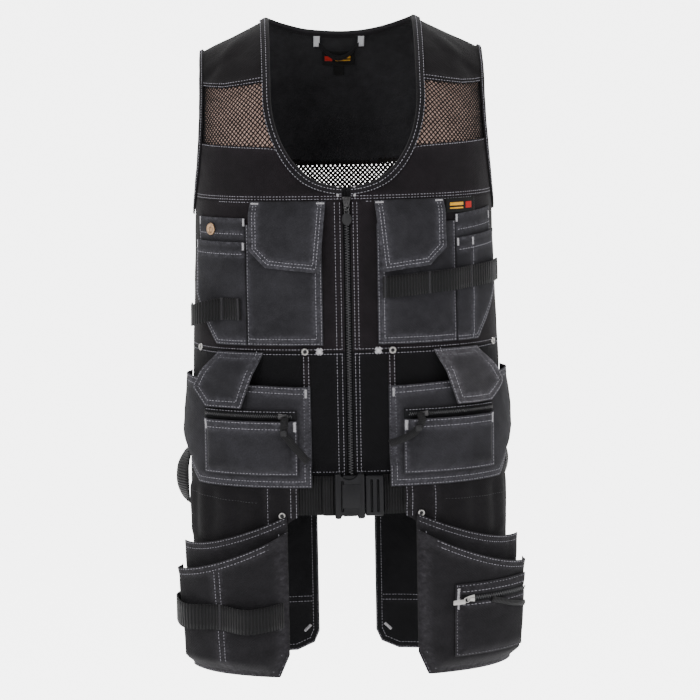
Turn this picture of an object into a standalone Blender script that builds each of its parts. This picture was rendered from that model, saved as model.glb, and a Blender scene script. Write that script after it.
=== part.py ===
"""A zip-front utility work vest with chest and hip pockets, a belt and four tails.

Metres, +Z up, front towards -Y. The origin is the middle of the neck at shoulder height.
Each cloth piece is drawn flat, as a pattern: x is the arc from the middle of the front or
back, y the height along the cloth, z the lift off the body. It is then wrapped onto the form.
"""

import math

import bmesh
import bpy
import numpy as np
from mathutils import Matrix, Vector

# The worn form
VEST_LENGTH = 0.852
HALF_WIDTH = 0.200
FRONT_DEPTH = 0.139
BACK_DEPTH = 0.128
FRONT_SQUARENESS = 2.5
BACK_SQUARENESS = 2.4
CHEST = -0.200
SHOULDER_TURN = 0.170
RIDGE_Y = 0.004
SHOULDER_SLOPE = 0.48
FOLD_RISE = 0.004

# Columns: drop from chest to tail end, half width, front depth, back depth, all as shares
SECTIONS = (
    (0.000, 0.945, 0.993, 0.969),
    (0.153, 0.955, 1.007, 0.938),
    (0.353, 0.980, 0.978, 0.875),
    (0.491, 0.995, 0.986, 0.922),
    (0.613, 1.000, 0.993, 0.969),
    (1.000, 1.000, 0.993, 1.000),
)
# Facet lines that every layer shares, as shares of the half width, along the arc
FACET_LINES = (0.225, 0.450, 0.590, 0.700, 0.800, 0.900, 1.015, 1.160)
# Columns: 1 front or -1 back, side, arc and drop as shares of half width and length,
# tilt in degrees, then length and breadth as shares of half width, rise as a share
FOLDS = (
    (1, -1, 0.74, 0.010, 35, 0.36, 0.070, 1.0),
    (1, -1, 0.86, 0.040, 52, 0.26, 0.060, -0.7),
    (1, 1, 0.70, 0.015, -38, 0.34, 0.070, 1.0),
    (1, 1, 0.84, 0.045, -55, 0.26, 0.060, -0.7),
    (1, -1, 0.62, 0.225, 12, 0.22, 0.090, 0.7),
    (1, 1, 0.60, 0.225, -14, 0.22, 0.090, 0.7),
    (-1, -1, 0.30, 0.560, 24, 0.42, 0.110, 1.0),
    (-1, 1, 0.34, 0.540, -28, 0.40, 0.110, 1.0),
    (-1, -1, 0.70, 0.480, 60, 0.40, 0.110, -0.8),
    (-1, 1, 0.72, 0.470, -60, 0.40, 0.110, -0.8),
    (-1, -1, 0.55, 0.080, 40, 0.36, 0.100, 0.8),
    (-1, 1, 0.55, 0.080, -40, 0.36, 0.100, 0.8),
)

# Cloth, webbing and the clearances between layers
CLOTH = 0.0015
POCKET_CLOTH = 0.0013
WEBBING = 0.0020
GAP = 0.0004
NET_SEAM_GAP = 0.0009
LAYER_GAP = 0.0008
BODY_TOP = CLOTH + LAYER_GAP
ROW_STEP = 0.050

# Seams and edges
NECK_ARC = 0.094
NECK_TURN = -0.100
NECK_BOTTOM = -0.207
NECK_SQUARENESS = 2.15
BACK_NECK = -0.008
TIP_X = 0.179
ARM_ARC_INSET = 0.063
ARM_TURN = -0.080
ARM_BOTTOM = -0.238
MESH_TOP_INNER = -0.085
MESH_TOP_OUTER = -0.056
MESH_BOTTOM_INNER = -0.164
MESH_BOTTOM_OUTER = -0.147
YOKE_SEAM = -0.222
WAIST_SEAM = -0.412
HEM = -0.572
BACK_MESH_TOP_MIDDLE = -0.194
BACK_MESH_TOP_SIDE = -0.120
BACK_MESH_BOTTOM = -0.320
MESH_STRAND = 0.0060
MESH_HOLES = (3, 4)
BACK_MESH_HOLES = (12, 4)

# Bindings and front zip
BINDING_WIDTH = 0.0085
BINDING_WALL = 0.0010
BINDING_CLEARANCE = 0.0018
BINDING_FOLD = 0.0016
BINDING_STEP = 0.022
ZIP_EDGE = 0.0048
ZIP_TOP = -0.2175
TAPE_HALF = 0.014
TAPE_WALL = 0.0010
CHAIN_HALF = 0.0028
SLIDER_LENGTH = 0.013
SLIDER_WIDTH = 0.0085
SLIDER_HEIGHT = 0.0034
PULL_LENGTH = 0.018
PULL_WIDTH = 0.012

# Chest
FLAP_INNER = 0.030
FLAP_OUTER = 0.1245
FLAP_LENGTH = 0.090
FLAP_SLANT = 0.009
FLAP_CHAMFER = 0.020
POCKET_INNER = 0.034
POCKET_DIVIDER = 0.131
POCKET_FOOT = 0.008
POCKET_LIFT = 0.0028
POCKET_MOUTH_DROP = 0.030
POCKET_SIDE = 0.016
TOOL_OUTER = 0.218
TOOL_TOP_BACK = -0.244
TOOL_TOP_FRONT = -0.274
TOOL_CORNER_ARC = 0.046
TOOL_CORNER_RISE = 0.062
PEN_INSET = 0.006
BUTTON_ARC = 0.181
BUTTON_DROP = -0.259
BUTTON_DIAMETER = 0.0155
BUTTON_HEIGHT = 0.0030
LABEL_ARC = 0.150
LABEL_WIDTH = 0.046
LABEL_HEIGHT = 0.018
LABEL_WALL = 0.0009
TOOL_WEB_HEIGHT = 0.027
LEFT_WEB_MIDDLE = -0.358
RIGHT_WEB_MIDDLE = -0.319
RIGHT_WEB_SLANT = 0.012
LEFT_WEB_LOOP_LIFT = 0.017
LEFT_WEB_SAG = 0.012
# Columns: arc, share of the loop's lift
LEFT_WEB_LOOP = (
    (0.134, 0.0),
    (0.142, 0.0),
    (0.156, 0.0),
    (0.165, 0.32),
    (0.175, 0.74),
    (0.187, 0.90),
    (0.199, 0.68),
    (0.211, 0.28),
    (0.221, 0.02),
    (0.229, -0.10),
)
RIGHT_WEB_LOOP_LIFT = 0.004

# Hips
HIP_INNER = 0.049
HIP_OUTER = 0.262
HIP_TOP_INNER = -0.459
HIP_TOP_OUTER = -0.447
HIP_BOTTOM = -0.584
HIP_CORNER_ARC = 0.055
HIP_CORNER_RISE = 0.050
HIP_LIFT = 0.011
HIP_SWELL = 1.1
HIP_MOUTH_SHARE = 0.75
HIP_SIDE = 0.020
HIP_STEP_TOP = -0.545
HIP_STEP_HEIGHT = 0.018
ZIP_BAG_INNER = 0.065
ZIP_BAG_OUTER = 0.184
ZIP_BAG_TOP = -0.498
ZIP_BAG_BOTTOM = -0.567
ZIP_BAG_LIFT = 0.009
ZIP_BAG_SIDE = 0.014
ZIP_STRIP_HEIGHT = 0.013
HIP_FLAP_INNER = 0.108
HIP_FLAP_OUTER = 0.199
HIP_FLAP_TOP_OUTER = 0.172
HIP_FLAP_LENGTH = 0.070
HIP_FLAP_SLANT = 0.023
HIP_FLAP_RAMP = 0.030
HIP_FLAP_CHAMFER = 0.021
HIP_FLAP_SHOULDER = 0.044
RIBBON_WIDTH = 0.009
RIBBON_WALL = 0.0012
# Arc and height of each ribbon's points from its slider, then how far it sinks into the bag
RIBBON_ROUTES = (
    (
        ((0.078, -0.492), (0.078, -0.506), (0.077, -0.516), (0.066, -0.530), (0.052, -0.548)),
        0.0013, -1, "left",
    ),
    (
        ((0.083, -0.490), (0.084, -0.503), (0.076, -0.514), (0.062, -0.520), (0.046, -0.526)),
        0.0005, 1, "right",
    ),
)
RIVET_DIAMETER = 0.0090
RIVET_HEIGHT = 0.0022
RIVET_ARCS = (0.055, 0.212)

# Belt and buckle
BELT_WIDTH = 0.050
BELT_TOP = -0.5695
SOCKET_LENGTH = 0.038
SOCKET_WIDTH = 0.058
PRONG_LENGTH = 0.024
PRONG_WIDTH = 0.052
BUCKLE_THICKNESS = 0.012
BUCKLE_MIDDLE = 0.0165
TONGUE_DEPTH = 0.020
MOUTH_DEPTH = 0.008
BUCKLE_ROUND = 0.0028
TONGUE_WIDTH_SHARE = 0.72
TONGUE_HEIGHT_SHARE = 0.45
PRONG_HEIGHT_SHARE = 0.85
BELT_STEP = 0.010

# Tails
TAIL_TAB_INNER = 0.067
TAIL_INNER = 0.081
TAIL_OUTER = 0.236
TAIL_TOP = -0.5710
TAIL_BOTTOM = -0.827
TAIL_CHAMFER_ARC = 0.012
TAIL_CHAMFER_RISE = 0.028
POUCH_OUTER = 0.232
POUCH_TOP_INNER = -0.620
POUCH_TOP_DROP = 0.043
NAIL_TOP_INNER = -0.640
NAIL_TOP_DROP = 0.054
POUCH_LIFT = 0.010
NAIL_LIFT = 0.029
NAIL_SIDE = 0.024
BAG_FOOT_SHARE = 0.72
NAIL_WEB_TOP = -0.728
NAIL_WEB_HEIGHT = 0.032
NAIL_WEB_LIFT = 0.010
NAIL_WEB_SAG = 0.004
NAIL_WEB_NEAR = 0.006
NAIL_ZIP_INNER = 0.117
NAIL_ZIP_OUTER = 0.210
NAIL_ZIP_TOP = -0.709
NAIL_ZIP_BOTTOM = -0.802
NAIL_ZIP_LIFT = 0.006
NAIL_ZIP_SIDE = 0.012
BAG_CLEARANCE = 0.0006
BACK_TAIL_INNER = 0.038
BACK_TAIL_OUTER = 0.230
BACK_TAIL_TOP = -0.571
BACK_TAIL_CHAMFER = 0.030

# Small straps
STRAP_WALL = 0.0014
HANGER_HALF = 0.029
HANGER_TOP = -0.022
HANGER_SAG = 0.030
HANGER_WIDTH = 0.008
HANGER_STAND_OFF = 0.006
NECK_LABEL_WIDTH = 0.043
NECK_LABEL_HEIGHT = 0.024
NECK_LABEL_TOP = -0.045
HAMMER_ARC = 0.268
HAMMER_TOP = -0.550
HAMMER_LENGTH = 0.070
HAMMER_LIFT = 0.014
HAMMER_WIDTH = 0.025

TAIL_LIFT = BODY_TOP + WEBBING + LAYER_GAP
LEVELS = 60
SHARES = 120
PROBE = 0.0015

BLACK = (0.011, 0.010, 0.012)
INNER_BLACK = (0.009, 0.009, 0.010)
CHARCOAL = (0.030, 0.029, 0.032)
NET_BLACK = (0.014, 0.012, 0.012)
WEB_BLACK = (0.010, 0.010, 0.011)
PLASTIC = (0.026, 0.025, 0.028)
STEEL = (0.55, 0.53, 0.50)
BRONZE = (0.42, 0.28, 0.16)
LABEL_GREY = (0.020, 0.020, 0.021)


def clear_scene():
    for obj in list(bpy.data.objects):
        bpy.data.objects.remove(obj, do_unlink=True)


def new_collection(name, hidden=False):
    collection = bpy.data.collections.new(name)
    collection.hide_render = hidden
    bpy.context.scene.collection.children.link(collection)
    return collection


def finish_of(name, colour, roughness, metallic=0.0):
    """A plain finish for one sub-part."""
    finish = bpy.data.materials.new(name)
    finish.use_nodes = True
    shader = finish.node_tree.nodes["Principled BSDF"]
    shader.inputs["Base Color"].default_value = (*colour, 1.0)
    shader.inputs["Roughness"].default_value = roughness
    shader.inputs["Metallic"].default_value = metallic
    return finish


def eased(x, xs, ys):
    """A smooth curve through the points xs, ys, level at both ends."""
    xs, ys = np.asarray(xs, float), np.asarray(ys, float)
    slopes = np.zeros(len(xs))
    slopes[1:-1] = (ys[2:] - ys[:-2]) / (xs[2:] - xs[:-2])
    x = np.clip(x, xs[0], xs[-1])
    i = np.clip(np.searchsorted(xs, x) - 1, 0, len(xs) - 2)
    gap = xs[i + 1] - xs[i]
    t = (x - xs[i]) / gap
    ends = (2 * t**3 - 3 * t**2 + 1) * ys[i] + (3 * t**2 - 2 * t**3) * ys[i + 1]
    turns = (t**3 - 2 * t**2 + t) * slopes[i] + (t**3 - t**2) * slopes[i + 1]
    return ends + gap * turns


def section_outline(drop):
    """Points of half a body section, from the middle of the front to that of the back."""
    shares = np.transpose(SECTIONS)
    width, front, back = (eased(drop, shares[0], shares[k]) for k in (1, 2, 3))
    angle = np.linspace(0, math.pi, 481)
    power = np.where(angle <= math.pi / 2, 2 / FRONT_SQUARENESS, 2 / BACK_SQUARENESS)
    depth = np.where(angle <= math.pi / 2, front * FRONT_DEPTH, back * BACK_DEPTH)
    x = width * HALF_WIDTH * np.abs(np.sin(angle)) ** power
    y = -np.sign(np.cos(angle)) * depth * np.abs(np.cos(angle)) ** power
    return x, y


def form_tables():
    """Body sections at even heights, each read at even shares of its front and back arcs."""
    table_x, table_y, quarters = [], [], []
    for drop in np.linspace(0, 1, LEVELS):
        x, y = section_outline(drop)
        arc = np.concatenate([[0], np.cumsum(np.hypot(np.diff(x), np.diff(y)))])
        side = arc[len(arc) // 2]
        share = np.linspace(0, 1, SHARES)
        at = np.concatenate([share * side, side + share[1:] * (arc[-1] - side)])
        table_x.append(np.interp(at, arc, x))
        table_y.append(np.interp(at, arc, y))
        quarters.append((side, arc[-1] - side))
    return np.array(table_x), np.array(table_y), np.array(quarters)


FORM_X, FORM_Y, QUARTERS = form_tables()


def level_of(v):
    """The place of a cloth height in the table of sections."""
    drop = (CHEST - np.asarray(v, float)) / (CHEST + VEST_LENGTH)
    return np.clip(drop, 0, 1) * (LEVELS - 1)


def quarter_arc(v, back=False):
    """The arc from the middle of the front, or back, to the side at one height."""
    return np.interp(level_of(v), range(LEVELS), QUARTERS[:, 1 if back else 0])


def fold_lift(s, v, back):
    """How far the soft folds lift the cloth."""
    lift = np.zeros_like(s)
    for face, side, arc, drop, tilt, length, breadth, rise in FOLDS:
        turn = math.radians(tilt)
        across = s - side * arc * HALF_WIDTH
        up = v + drop * VEST_LENGTH
        along = (across * math.sin(turn) + up * math.cos(turn)) / (length * HALF_WIDTH)
        off = (across * math.cos(turn) - up * math.sin(turn)) / (breadth * HALF_WIDTH)
        here = np.where(back, face < 0, face > 0)
        lift += here * rise * FOLD_RISE * np.exp(-((2 * along) ** 2) - off**2)
    return lift


def on_form(s, v, back):
    """Points of the worn form, without lift, for arcs s and heights v."""
    level = level_of(v)
    low = np.minimum(level.astype(int), LEVELS - 2)
    part = level - low
    front_arc = np.interp(level, range(LEVELS), QUARTERS[:, 0])
    back_arc = np.interp(level, range(LEVELS), QUARTERS[:, 1])
    first, second = np.where(back, back_arc, front_arc), np.where(back, front_arc, back_arc)
    reach = np.abs(s)
    share = np.where(reach < first, reach / first, 1 + (reach - first) / second)
    share = np.where(back, 2 - share, share)
    place = np.clip(share, 0, 2) * (SHARES - 1)
    cell = np.minimum(place.astype(int), 2 * SHARES - 3)
    rest = place - cell

    def read(table):
        upper = table[low, cell] * (1 - rest) + table[low, cell + 1] * rest
        lower = table[low + 1, cell] * (1 - rest) + table[low + 1, cell + 1] * rest
        return upper * (1 - part) + lower * part

    x, y = read(FORM_X), read(FORM_Y)
    turn = np.clip((v - CHEST) / SHOULDER_TURN, 0, None)
    ridge = -SHOULDER_SLOPE * np.maximum(0, x - NECK_ARC)
    z = np.where(turn > 0, CHEST + (ridge - CHEST) * np.sin(turn), v)
    y = np.where(turn > 0, RIDGE_Y + (y - RIDGE_Y) * np.cos(turn), y)
    side = np.where(back, -1, 1) * np.sign(s)
    return np.stack([side * x, y, z], axis=-1)


def outward(s, v, back):
    """The form's outward direction."""
    across = on_form(s + PROBE, v, back) - on_form(s - PROBE, v, back)
    up = on_form(s, v + PROBE, back) - on_form(s, v - PROBE, back)
    normal = np.cross(across, up)
    return normal / np.linalg.norm(normal, axis=-1, keepdims=True)


def worn(s, v, lift, back=False):
    """Pattern points carried onto the form: arcs s, heights v and lifts."""
    s, v, lift = (np.atleast_1d(np.asarray(a, float)) for a in (s, v, lift))
    back = np.broadcast_to(back, s.shape)
    lift = lift + fold_lift(s, v, back)
    return on_form(s, v, back) + outward(s, v, back) * lift[..., None]


def wrap(bm, side=1, back=False):
    """Carries a flat pattern onto the form, mirrored to the given side."""
    flat = np.array([v.co for v in bm.verts])
    placed = worn(side * flat[:, 0], flat[:, 1], flat[:, 2], back)
    for vert, co in zip(bm.verts, placed):
        vert.co = co
    if side < 0:
        bmesh.ops.reverse_faces(bm, faces=bm.faces)


def add_object(name, bm, finish):
    mesh = bpy.data.meshes.new(name)
    bm.to_mesh(mesh)
    bm.free()
    mesh.shade_smooth()
    mesh.set_sharp_from_angle(angle=math.radians(40))
    mesh.materials.append(finish)
    obj = bpy.data.objects.new(name, mesh)
    VEST.objects.link(obj)
    return obj


def thicken(obj, wall, offset=1.0):
    solid = obj.modifiers.new("wall", "SOLIDIFY")
    solid.thickness = wall
    solid.offset = offset


def cloth(name, bm, wall, finish, side=1, back=False):
    """Wraps a flat pattern and gives it its wall, outwards."""
    wrap(bm, side, back)
    obj = add_object(name, bm, finish)
    thicken(obj, wall)
    return obj


def grid(columns, rows):
    """A flat grid, and the column and row of each of its corners."""
    bm = bmesh.new()
    bmesh.ops.create_grid(bm, x_segments=columns, y_segments=rows, size=0.5)
    place = {}
    for vert in bm.verts:
        place[vert] = (round((vert.co.x + 0.5) * columns), round((vert.co.y + 0.5) * rows))
    return bm, place


def as_function(value):
    return value if callable(value) else lambda _: value


def facet_columns(inner, outer, extra=()):
    """Arcs of the shared facet lines between two edges, with extra ones added."""
    least = 0.006
    lines = [side * share * HALF_WIDTH for share in (0.0, *FACET_LINES) for side in (-1, 1)]
    lines = sorted(set(lines))
    kept = [line for line in lines if inner + least < line < outer - least]
    kept = [line for line in kept if all(abs(line - more) > least for more in extra)]
    return sorted([*kept, *extra])


def sheet(inner, outer, low, high, rows, extra=()):
    """A flat panel between two side edges and two level edges, each a length or a function."""
    inner, outer, low, high = (as_function(value) for value in (inner, outer, low, high))
    middle = (low(0) + high(0)) / 2
    lines = facet_columns(inner(middle), outer(middle), extra)
    bm, place = grid(len(lines) + 1, rows)
    for vert, (i, j) in place.items():
        s = inner(middle) if i == 0 else outer(middle) if i > len(lines) else lines[i - 1]
        v = low(s) + (high(s) - low(s)) * j / rows
        if i == 0:
            s = inner(v)
        elif i > len(lines):
            s = outer(v)
        vert.co = (s, v, 0)
    return bm


def along(points):
    """A function that gives the point at a share of a line's length."""
    points = np.array(points, float)
    run = np.concatenate([[0], np.cumsum(np.hypot(*np.diff(points, axis=0).T))])
    run /= run[-1]
    return lambda t: np.array([np.interp(t, run, points[:, 0]), np.interp(t, run, points[:, 1])])


def patch(low, high, inner, outer, columns, rows):
    """A flat panel between four curved edges, given as functions of a share."""
    bm, place = grid(len(columns) - 1, len(rows) - 1)
    corners = [[inner(0), inner(1)], [outer(0), outer(1)]]
    for vert, (i, j) in place.items():
        a, b = columns[i], rows[j]
        level = (1 - b) * low(a) + b * high(a)
        side = (1 - a) * inner(b) + a * outer(b)
        bottom = (1 - a) * corners[0][0] + a * corners[1][0]
        top = (1 - a) * corners[0][1] + a * corners[1][1]
        s, v = level + side - (1 - b) * bottom - b * top
        vert.co = (s, v, 0)
    return bm


def trim(bm, start, end):
    """Cuts the pattern along a line and drops what lies to the right of it."""
    run = Vector(end) - Vector(start)
    normal = Vector((run.y, -run.x, 0)).normalized()
    parts = [*bm.verts, *bm.edges, *bm.faces]
    plane = Vector((*start, 0))
    bmesh.ops.bisect_plane(
        bm, geom=parts, plane_co=plane, plane_no=normal, dist=1e-6, clear_outer=True
    )
    bmesh.ops.remove_doubles(bm, verts=bm.verts, dist=5e-4)


def rounded(share):
    """Rises from 0 to 1 with a soft start and end."""
    t = min(max(share, 0.0), 1.0)
    return t * t * (3 - 2 * t)


def edge_distance(point, lines):
    """The distance from a pattern point to the nearest of some sewn lines."""
    best = math.inf
    for start, end in lines:
        run = Vector(end) - Vector(start)
        off = Vector(point) - Vector(start)
        t = min(max(off.dot(run) / run.dot(run), 0), 1)
        best = min(best, (off - run * t).length)
    return best


def puff(bm, sewn, seat, rise, reach):
    """Lifts a pattern off its sewn lines: rise is a function of arc and height."""
    seat = as_function(seat)
    for vert in bm.verts:
        distance = edge_distance(vert.co.xy, sewn)
        s, v = vert.co.xy
        vert.co.z = seat(v) + rise(s, v) * rounded(distance / reach)


def level_sheet(bm, lift):
    for vert in bm.verts:
        vert.co.z = lift


def neck_edge(v):
    """The neckline's arc at a height of the front."""
    drop = min(max((NECK_TURN - v) / (NECK_TURN - NECK_BOTTOM), 0), 1)
    return NECK_ARC * (1 - drop**NECK_SQUARENESS) ** (1 / NECK_SQUARENESS)


def neck_points(top):
    """The front neckline from the zip up to a height, closer together where it turns."""
    heights = [NECK_BOTTOM + (top - NECK_BOTTOM) * t * t for t in even(16)]
    return [(ZIP_EDGE, NECK_BOTTOM)] + [(neck_edge(v), v) for v in heights[1:]]


def arc_at_x(x, back):
    """The arc of the ridge point at a distance x from the middle."""
    row = FORM_X[0, ::-1] if back else FORM_X[0]
    quarter = QUARTERS[0, 1 if back else 0]
    return float(np.interp(x, row[:SHARES], np.linspace(0, quarter, SHARES)))


RIDGE = CHEST + SHOULDER_TURN * math.pi / 2


def arm_edge(v, back=False):
    """The armhole's arc at a height, on the front or the back."""
    side = float(quarter_arc(CHEST, back))
    turn = side - ARM_ARC_INSET
    if v >= ARM_TURN:
        rise = (v - ARM_TURN) / (RIDGE - ARM_TURN)
        return turn + (arc_at_x(TIP_X, back) - turn) * rise**2
    drop = min((ARM_TURN - v) / (ARM_TURN - ARM_BOTTOM), 1)
    return side - ARM_ARC_INSET * math.sqrt(1 - drop**2)


def arm_height(s, back=False):
    """The height of the armhole's lower edge at an arc."""
    inset = (float(quarter_arc(CHEST, back)) - s) / ARM_ARC_INSET
    return ARM_TURN - (ARM_TURN - ARM_BOTTOM) * math.sqrt(max(0, 1 - inset**2))


def side_edge(back):
    return lambda v: float(quarter_arc(v, back)) - GAP / 2


def even(count):
    return [k / count for k in range(count + 1)]


def steps(start, end, count):
    return [start + (end - start) * t for t in even(count)]


def make_front(side, tag):
    """The shoulder, net, yoke, chest and waist panels of one front."""
    body = finish_of(f"body_cloth_{tag}", BLACK, 0.85)
    arm_line = [(arm_edge(v), v) for v in steps(RIDGE - GAP / 2, MESH_TOP_OUTER + GAP, 8)]
    tip = (arm_edge(RIDGE), RIDGE - GAP / 2)
    neck_top = (arc_at_x(NECK_ARC, False), RIDGE - GAP / 2)
    shoulder = patch(
        low=along([(NECK_ARC, MESH_TOP_INNER + GAP), arm_line[-1]]),
        high=along([neck_top, tip]),
        inner=along([(NECK_ARC, MESH_TOP_INNER + GAP), neck_top]),
        outer=along(arm_line[::-1]),
        columns=even(5),
        rows=even(6),
    )
    cloth(f"shoulder_{tag}", shoulder, CLOTH, body, side)
    make_front_net(side, tag)
    make_front_yoke(side, tag, body)
    chest = sheet(
        inner=ZIP_EDGE,
        outer=side_edge(False),
        low=WAIST_SEAM + GAP / 2,
        high=lambda s: min(YOKE_SEAM - GAP / 2, arm_height(s)),
        rows=5,
    )
    cloth(f"front_chest_{tag}", chest, CLOTH, body, side)
    waist = sheet(ZIP_EDGE, side_edge(False), HEM, WAIST_SEAM - GAP / 2, 4)
    cloth(f"front_waist_{tag}", waist, CLOTH, body, side)


def net_shares(holes):
    """Shares across a net: strands and holes by turns."""
    strand = 0.42
    cells = [strand] + [1.0, strand] * holes
    return [0.0, *np.cumsum(cells) / sum(cells)]


def cut_net(bm, place):
    """Drops the faces that lie in a hole's column and row."""
    holes = []
    for face in bm.faces:
        column = min(place[vert][0] for vert in face.verts)
        row = min(place[vert][1] for vert in face.verts)
        if column % 2 and row % 2:
            holes.append(face)
    bmesh.ops.delete(bm, geom=holes, context="FACES_ONLY")


def net_patch(low, high, inner, outer, holes):
    """A panel of coarse net between four edges."""
    columns, rows = net_shares(holes[0]), net_shares(holes[1])
    bm = patch(low, high, inner, outer, columns, rows)
    place = {}
    bm.verts.ensure_lookup_table()
    for vert in bm.verts:
        index = vert.index
        place[vert] = (index % len(columns), index // len(columns))
    cut_net(bm, place)
    return bm


def make_front_net(side, tag):
    inner_low = (neck_edge(MESH_BOTTOM_INNER), MESH_BOTTOM_INNER)
    arm_line = [(arm_edge(v), v) for v in steps(MESH_BOTTOM_OUTER, MESH_TOP_OUTER, 8)]
    neck_line = [(neck_edge(v), v) for v in steps(MESH_BOTTOM_INNER, MESH_TOP_INNER, 8)]
    net = net_patch(
        low=along([inner_low, arm_line[0]]),
        high=along([neck_line[-1], arm_line[-1]]),
        inner=along(neck_line),
        outer=along(arm_line),
        holes=MESH_HOLES,
    )
    cloth(f"front_mesh_{tag}", net, CLOTH, finish_of(f"net_{tag}", NET_BLACK, 0.9), side)


def make_front_yoke(side, tag, finish):
    """The yoke runs from the zip round the neckline to the armhole."""
    low_v = YOKE_SEAM + GAP / 2
    neck_line = neck_points(MESH_BOTTOM_INNER - GAP)
    net_line = (arm_edge(MESH_BOTTOM_OUTER - GAP), MESH_BOTTOM_OUTER - GAP)
    arm_line = [(arm_edge(v), v) for v in steps(low_v, net_line[1], 8)]
    neck_run = sum(math.dist(a, b) for a, b in zip(neck_line, neck_line[1:]))
    turn = neck_run / (neck_run + math.dist(neck_line[-1], net_line))
    yoke = patch(
        low=along([(ZIP_EDGE, low_v), arm_line[0]]),
        high=along([*neck_line, net_line]),
        inner=along([(ZIP_EDGE, low_v), neck_line[0]]),
        outer=along(arm_line),
        columns=[t * turn for t in even(7)] + [turn + (1 - turn) * t for t in even(5)[1:]],
        rows=even(3),
    )
    cloth(f"front_yoke_{tag}", yoke, CLOTH, finish, side)


def back_neck(u):
    """The height of the back neckline at an arc from the middle of the back."""
    share = min(abs(u) / arc_at_x(NECK_ARC, True), 1)
    return RIDGE - GAP / 2 - (RIDGE - BACK_NECK) * math.sqrt(1 - share**2)


def back_neck_arcs(reach, count):
    """Arcs across the back neck, closer together towards the shoulders."""
    return [-reach * math.cos(math.pi * t) for t in even(count)]


def back_net_top(u):
    """The height of the curved seam between the back yoke and the net."""
    reach = arm_edge(BACK_MESH_TOP_SIDE, True)
    return BACK_MESH_TOP_MIDDLE + (BACK_MESH_TOP_SIDE - BACK_MESH_TOP_MIDDLE) * (u / reach) ** 4


def make_back():
    """The back: yoke, net and body, each one piece across."""
    body = finish_of("back_cloth", BLACK, 0.85)
    neck_u, tip_u = arc_at_x(NECK_ARC, True), arm_edge(RIDGE, True)
    top = [(u, RIDGE - GAP / 2) for u in (-tip_u, -neck_u)]
    top += [(u, back_neck(u)) for u in back_neck_arcs(neck_u, 24)[1:-1]]
    top += [(u, RIDGE - GAP / 2) for u in (neck_u, tip_u)]
    lift = GAP / 2
    arm_top = [(arm_edge(v, True), v) for v in steps(BACK_MESH_TOP_SIDE + lift, RIDGE - lift, 8)]
    reach = arm_top[0][0]
    seam = [(u, back_net_top(u) + lift) for u in steps(-reach, reach, 32)]
    neck_run = sum(math.dist(a, b) for a, b in zip(top[1:-1], top[2:-1]))
    turn = (tip_u - neck_u) / (neck_run + 2 * (tip_u - neck_u))
    columns = [turn * t for t in even(4)] + steps(turn, 1 - turn, 10)[1:-1]
    columns += [1 - turn * t for t in even(4)[::-1]]
    yoke = patch(
        low=along(seam),
        high=along(top),
        inner=along([(-u, v) for u, v in arm_top]),
        outer=along(arm_top),
        columns=columns,
        rows=even(9),
    )
    cloth("back_yoke", yoke, CLOTH, body, back=True)
    edge = [(arm_edge(v, True), v) for v in steps(ARM_BOTTOM, BACK_MESH_TOP_SIDE - lift, 8)]
    edge[0] = (side_edge(True)(ARM_BOTTOM), ARM_BOTTOM)
    edge.insert(0, (side_edge(True)(BACK_MESH_BOTTOM), BACK_MESH_BOTTOM + lift))
    foot = edge[0][0]
    net = net_patch(
        low=along([(-foot, BACK_MESH_BOTTOM + lift), (foot, BACK_MESH_BOTTOM + lift)]),
        high=along([(u, v - NET_SEAM_GAP) for u, v in seam]),
        inner=along([(-u, v) for u, v in edge]),
        outer=along(edge),
        holes=BACK_MESH_HOLES,
    )
    cloth("back_mesh", net, CLOTH, finish_of("back_net", NET_BLACK, 0.9), back=True)
    outer = side_edge(True)
    panel = sheet(lambda v: -outer(v), outer, HEM, BACK_MESH_BOTTOM - lift, 6)
    cloth("back_body", panel, CLOTH, body, back=True)


def make_binding(name, runs, closed, finish):
    """A folded binding round an edge. Each run is a list of (s, v, into_s, into_v, back)."""
    clear, fold = BINDING_CLEARANCE, BINDING_FOLD
    profile = (
        (BINDING_WIDTH, CLOTH + clear),
        (-fold, CLOTH + clear),
        (-fold, -clear),
        (BINDING_WIDTH, -clear),
    )
    count = len(runs)
    bm, place = grid(count if closed else count - 1, len(profile) - 1)
    for vert, (i, j) in place.items():
        s, v, into_s, into_v, back = runs[i % count]
        across, lift = profile[j]
        vert.co = worn(s + into_s * across, v + into_v * across, lift, back)[0]
    if closed:
        bmesh.ops.remove_doubles(bm, verts=bm.verts, dist=1e-5)
    s, v, into_s, into_v, back = runs[0]
    outwards = Vector(worn(s, v, CLOTH, back)[0] - worn(s, v, 0, back)[0])
    bm.faces.ensure_lookup_table()
    bm.normal_update()
    if bm.faces[0].normal.dot(outwards) < 0:
        bmesh.ops.reverse_faces(bm, faces=bm.faces)
    thicken(add_object(name, bm, finish), BINDING_WALL)


def edge_run(points, back, into):
    """Edge points with the unit direction into the cloth, on the side that into names."""
    run = []
    for k, (s, v) in enumerate(points):
        a, b = points[max(k - 1, 0)], points[min(k + 1, len(points) - 1)]
        length = math.dist(a, b)
        normal = ((a[1] - b[1]) / length, (b[0] - a[0]) / length)
        if normal[0] * into[0] + normal[1] * into[1] < 0:
            normal = (-normal[0], -normal[1])
        run.append((s, v, *normal, back))
    return run


def even_points(points, step):
    """A line cut anew into even steps."""
    line = along(points)
    length = sum(math.dist(a, b) for a, b in zip(points, points[1:]))
    return [tuple(line(t)) for t in even(max(2, round(length / step)))]


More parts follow.
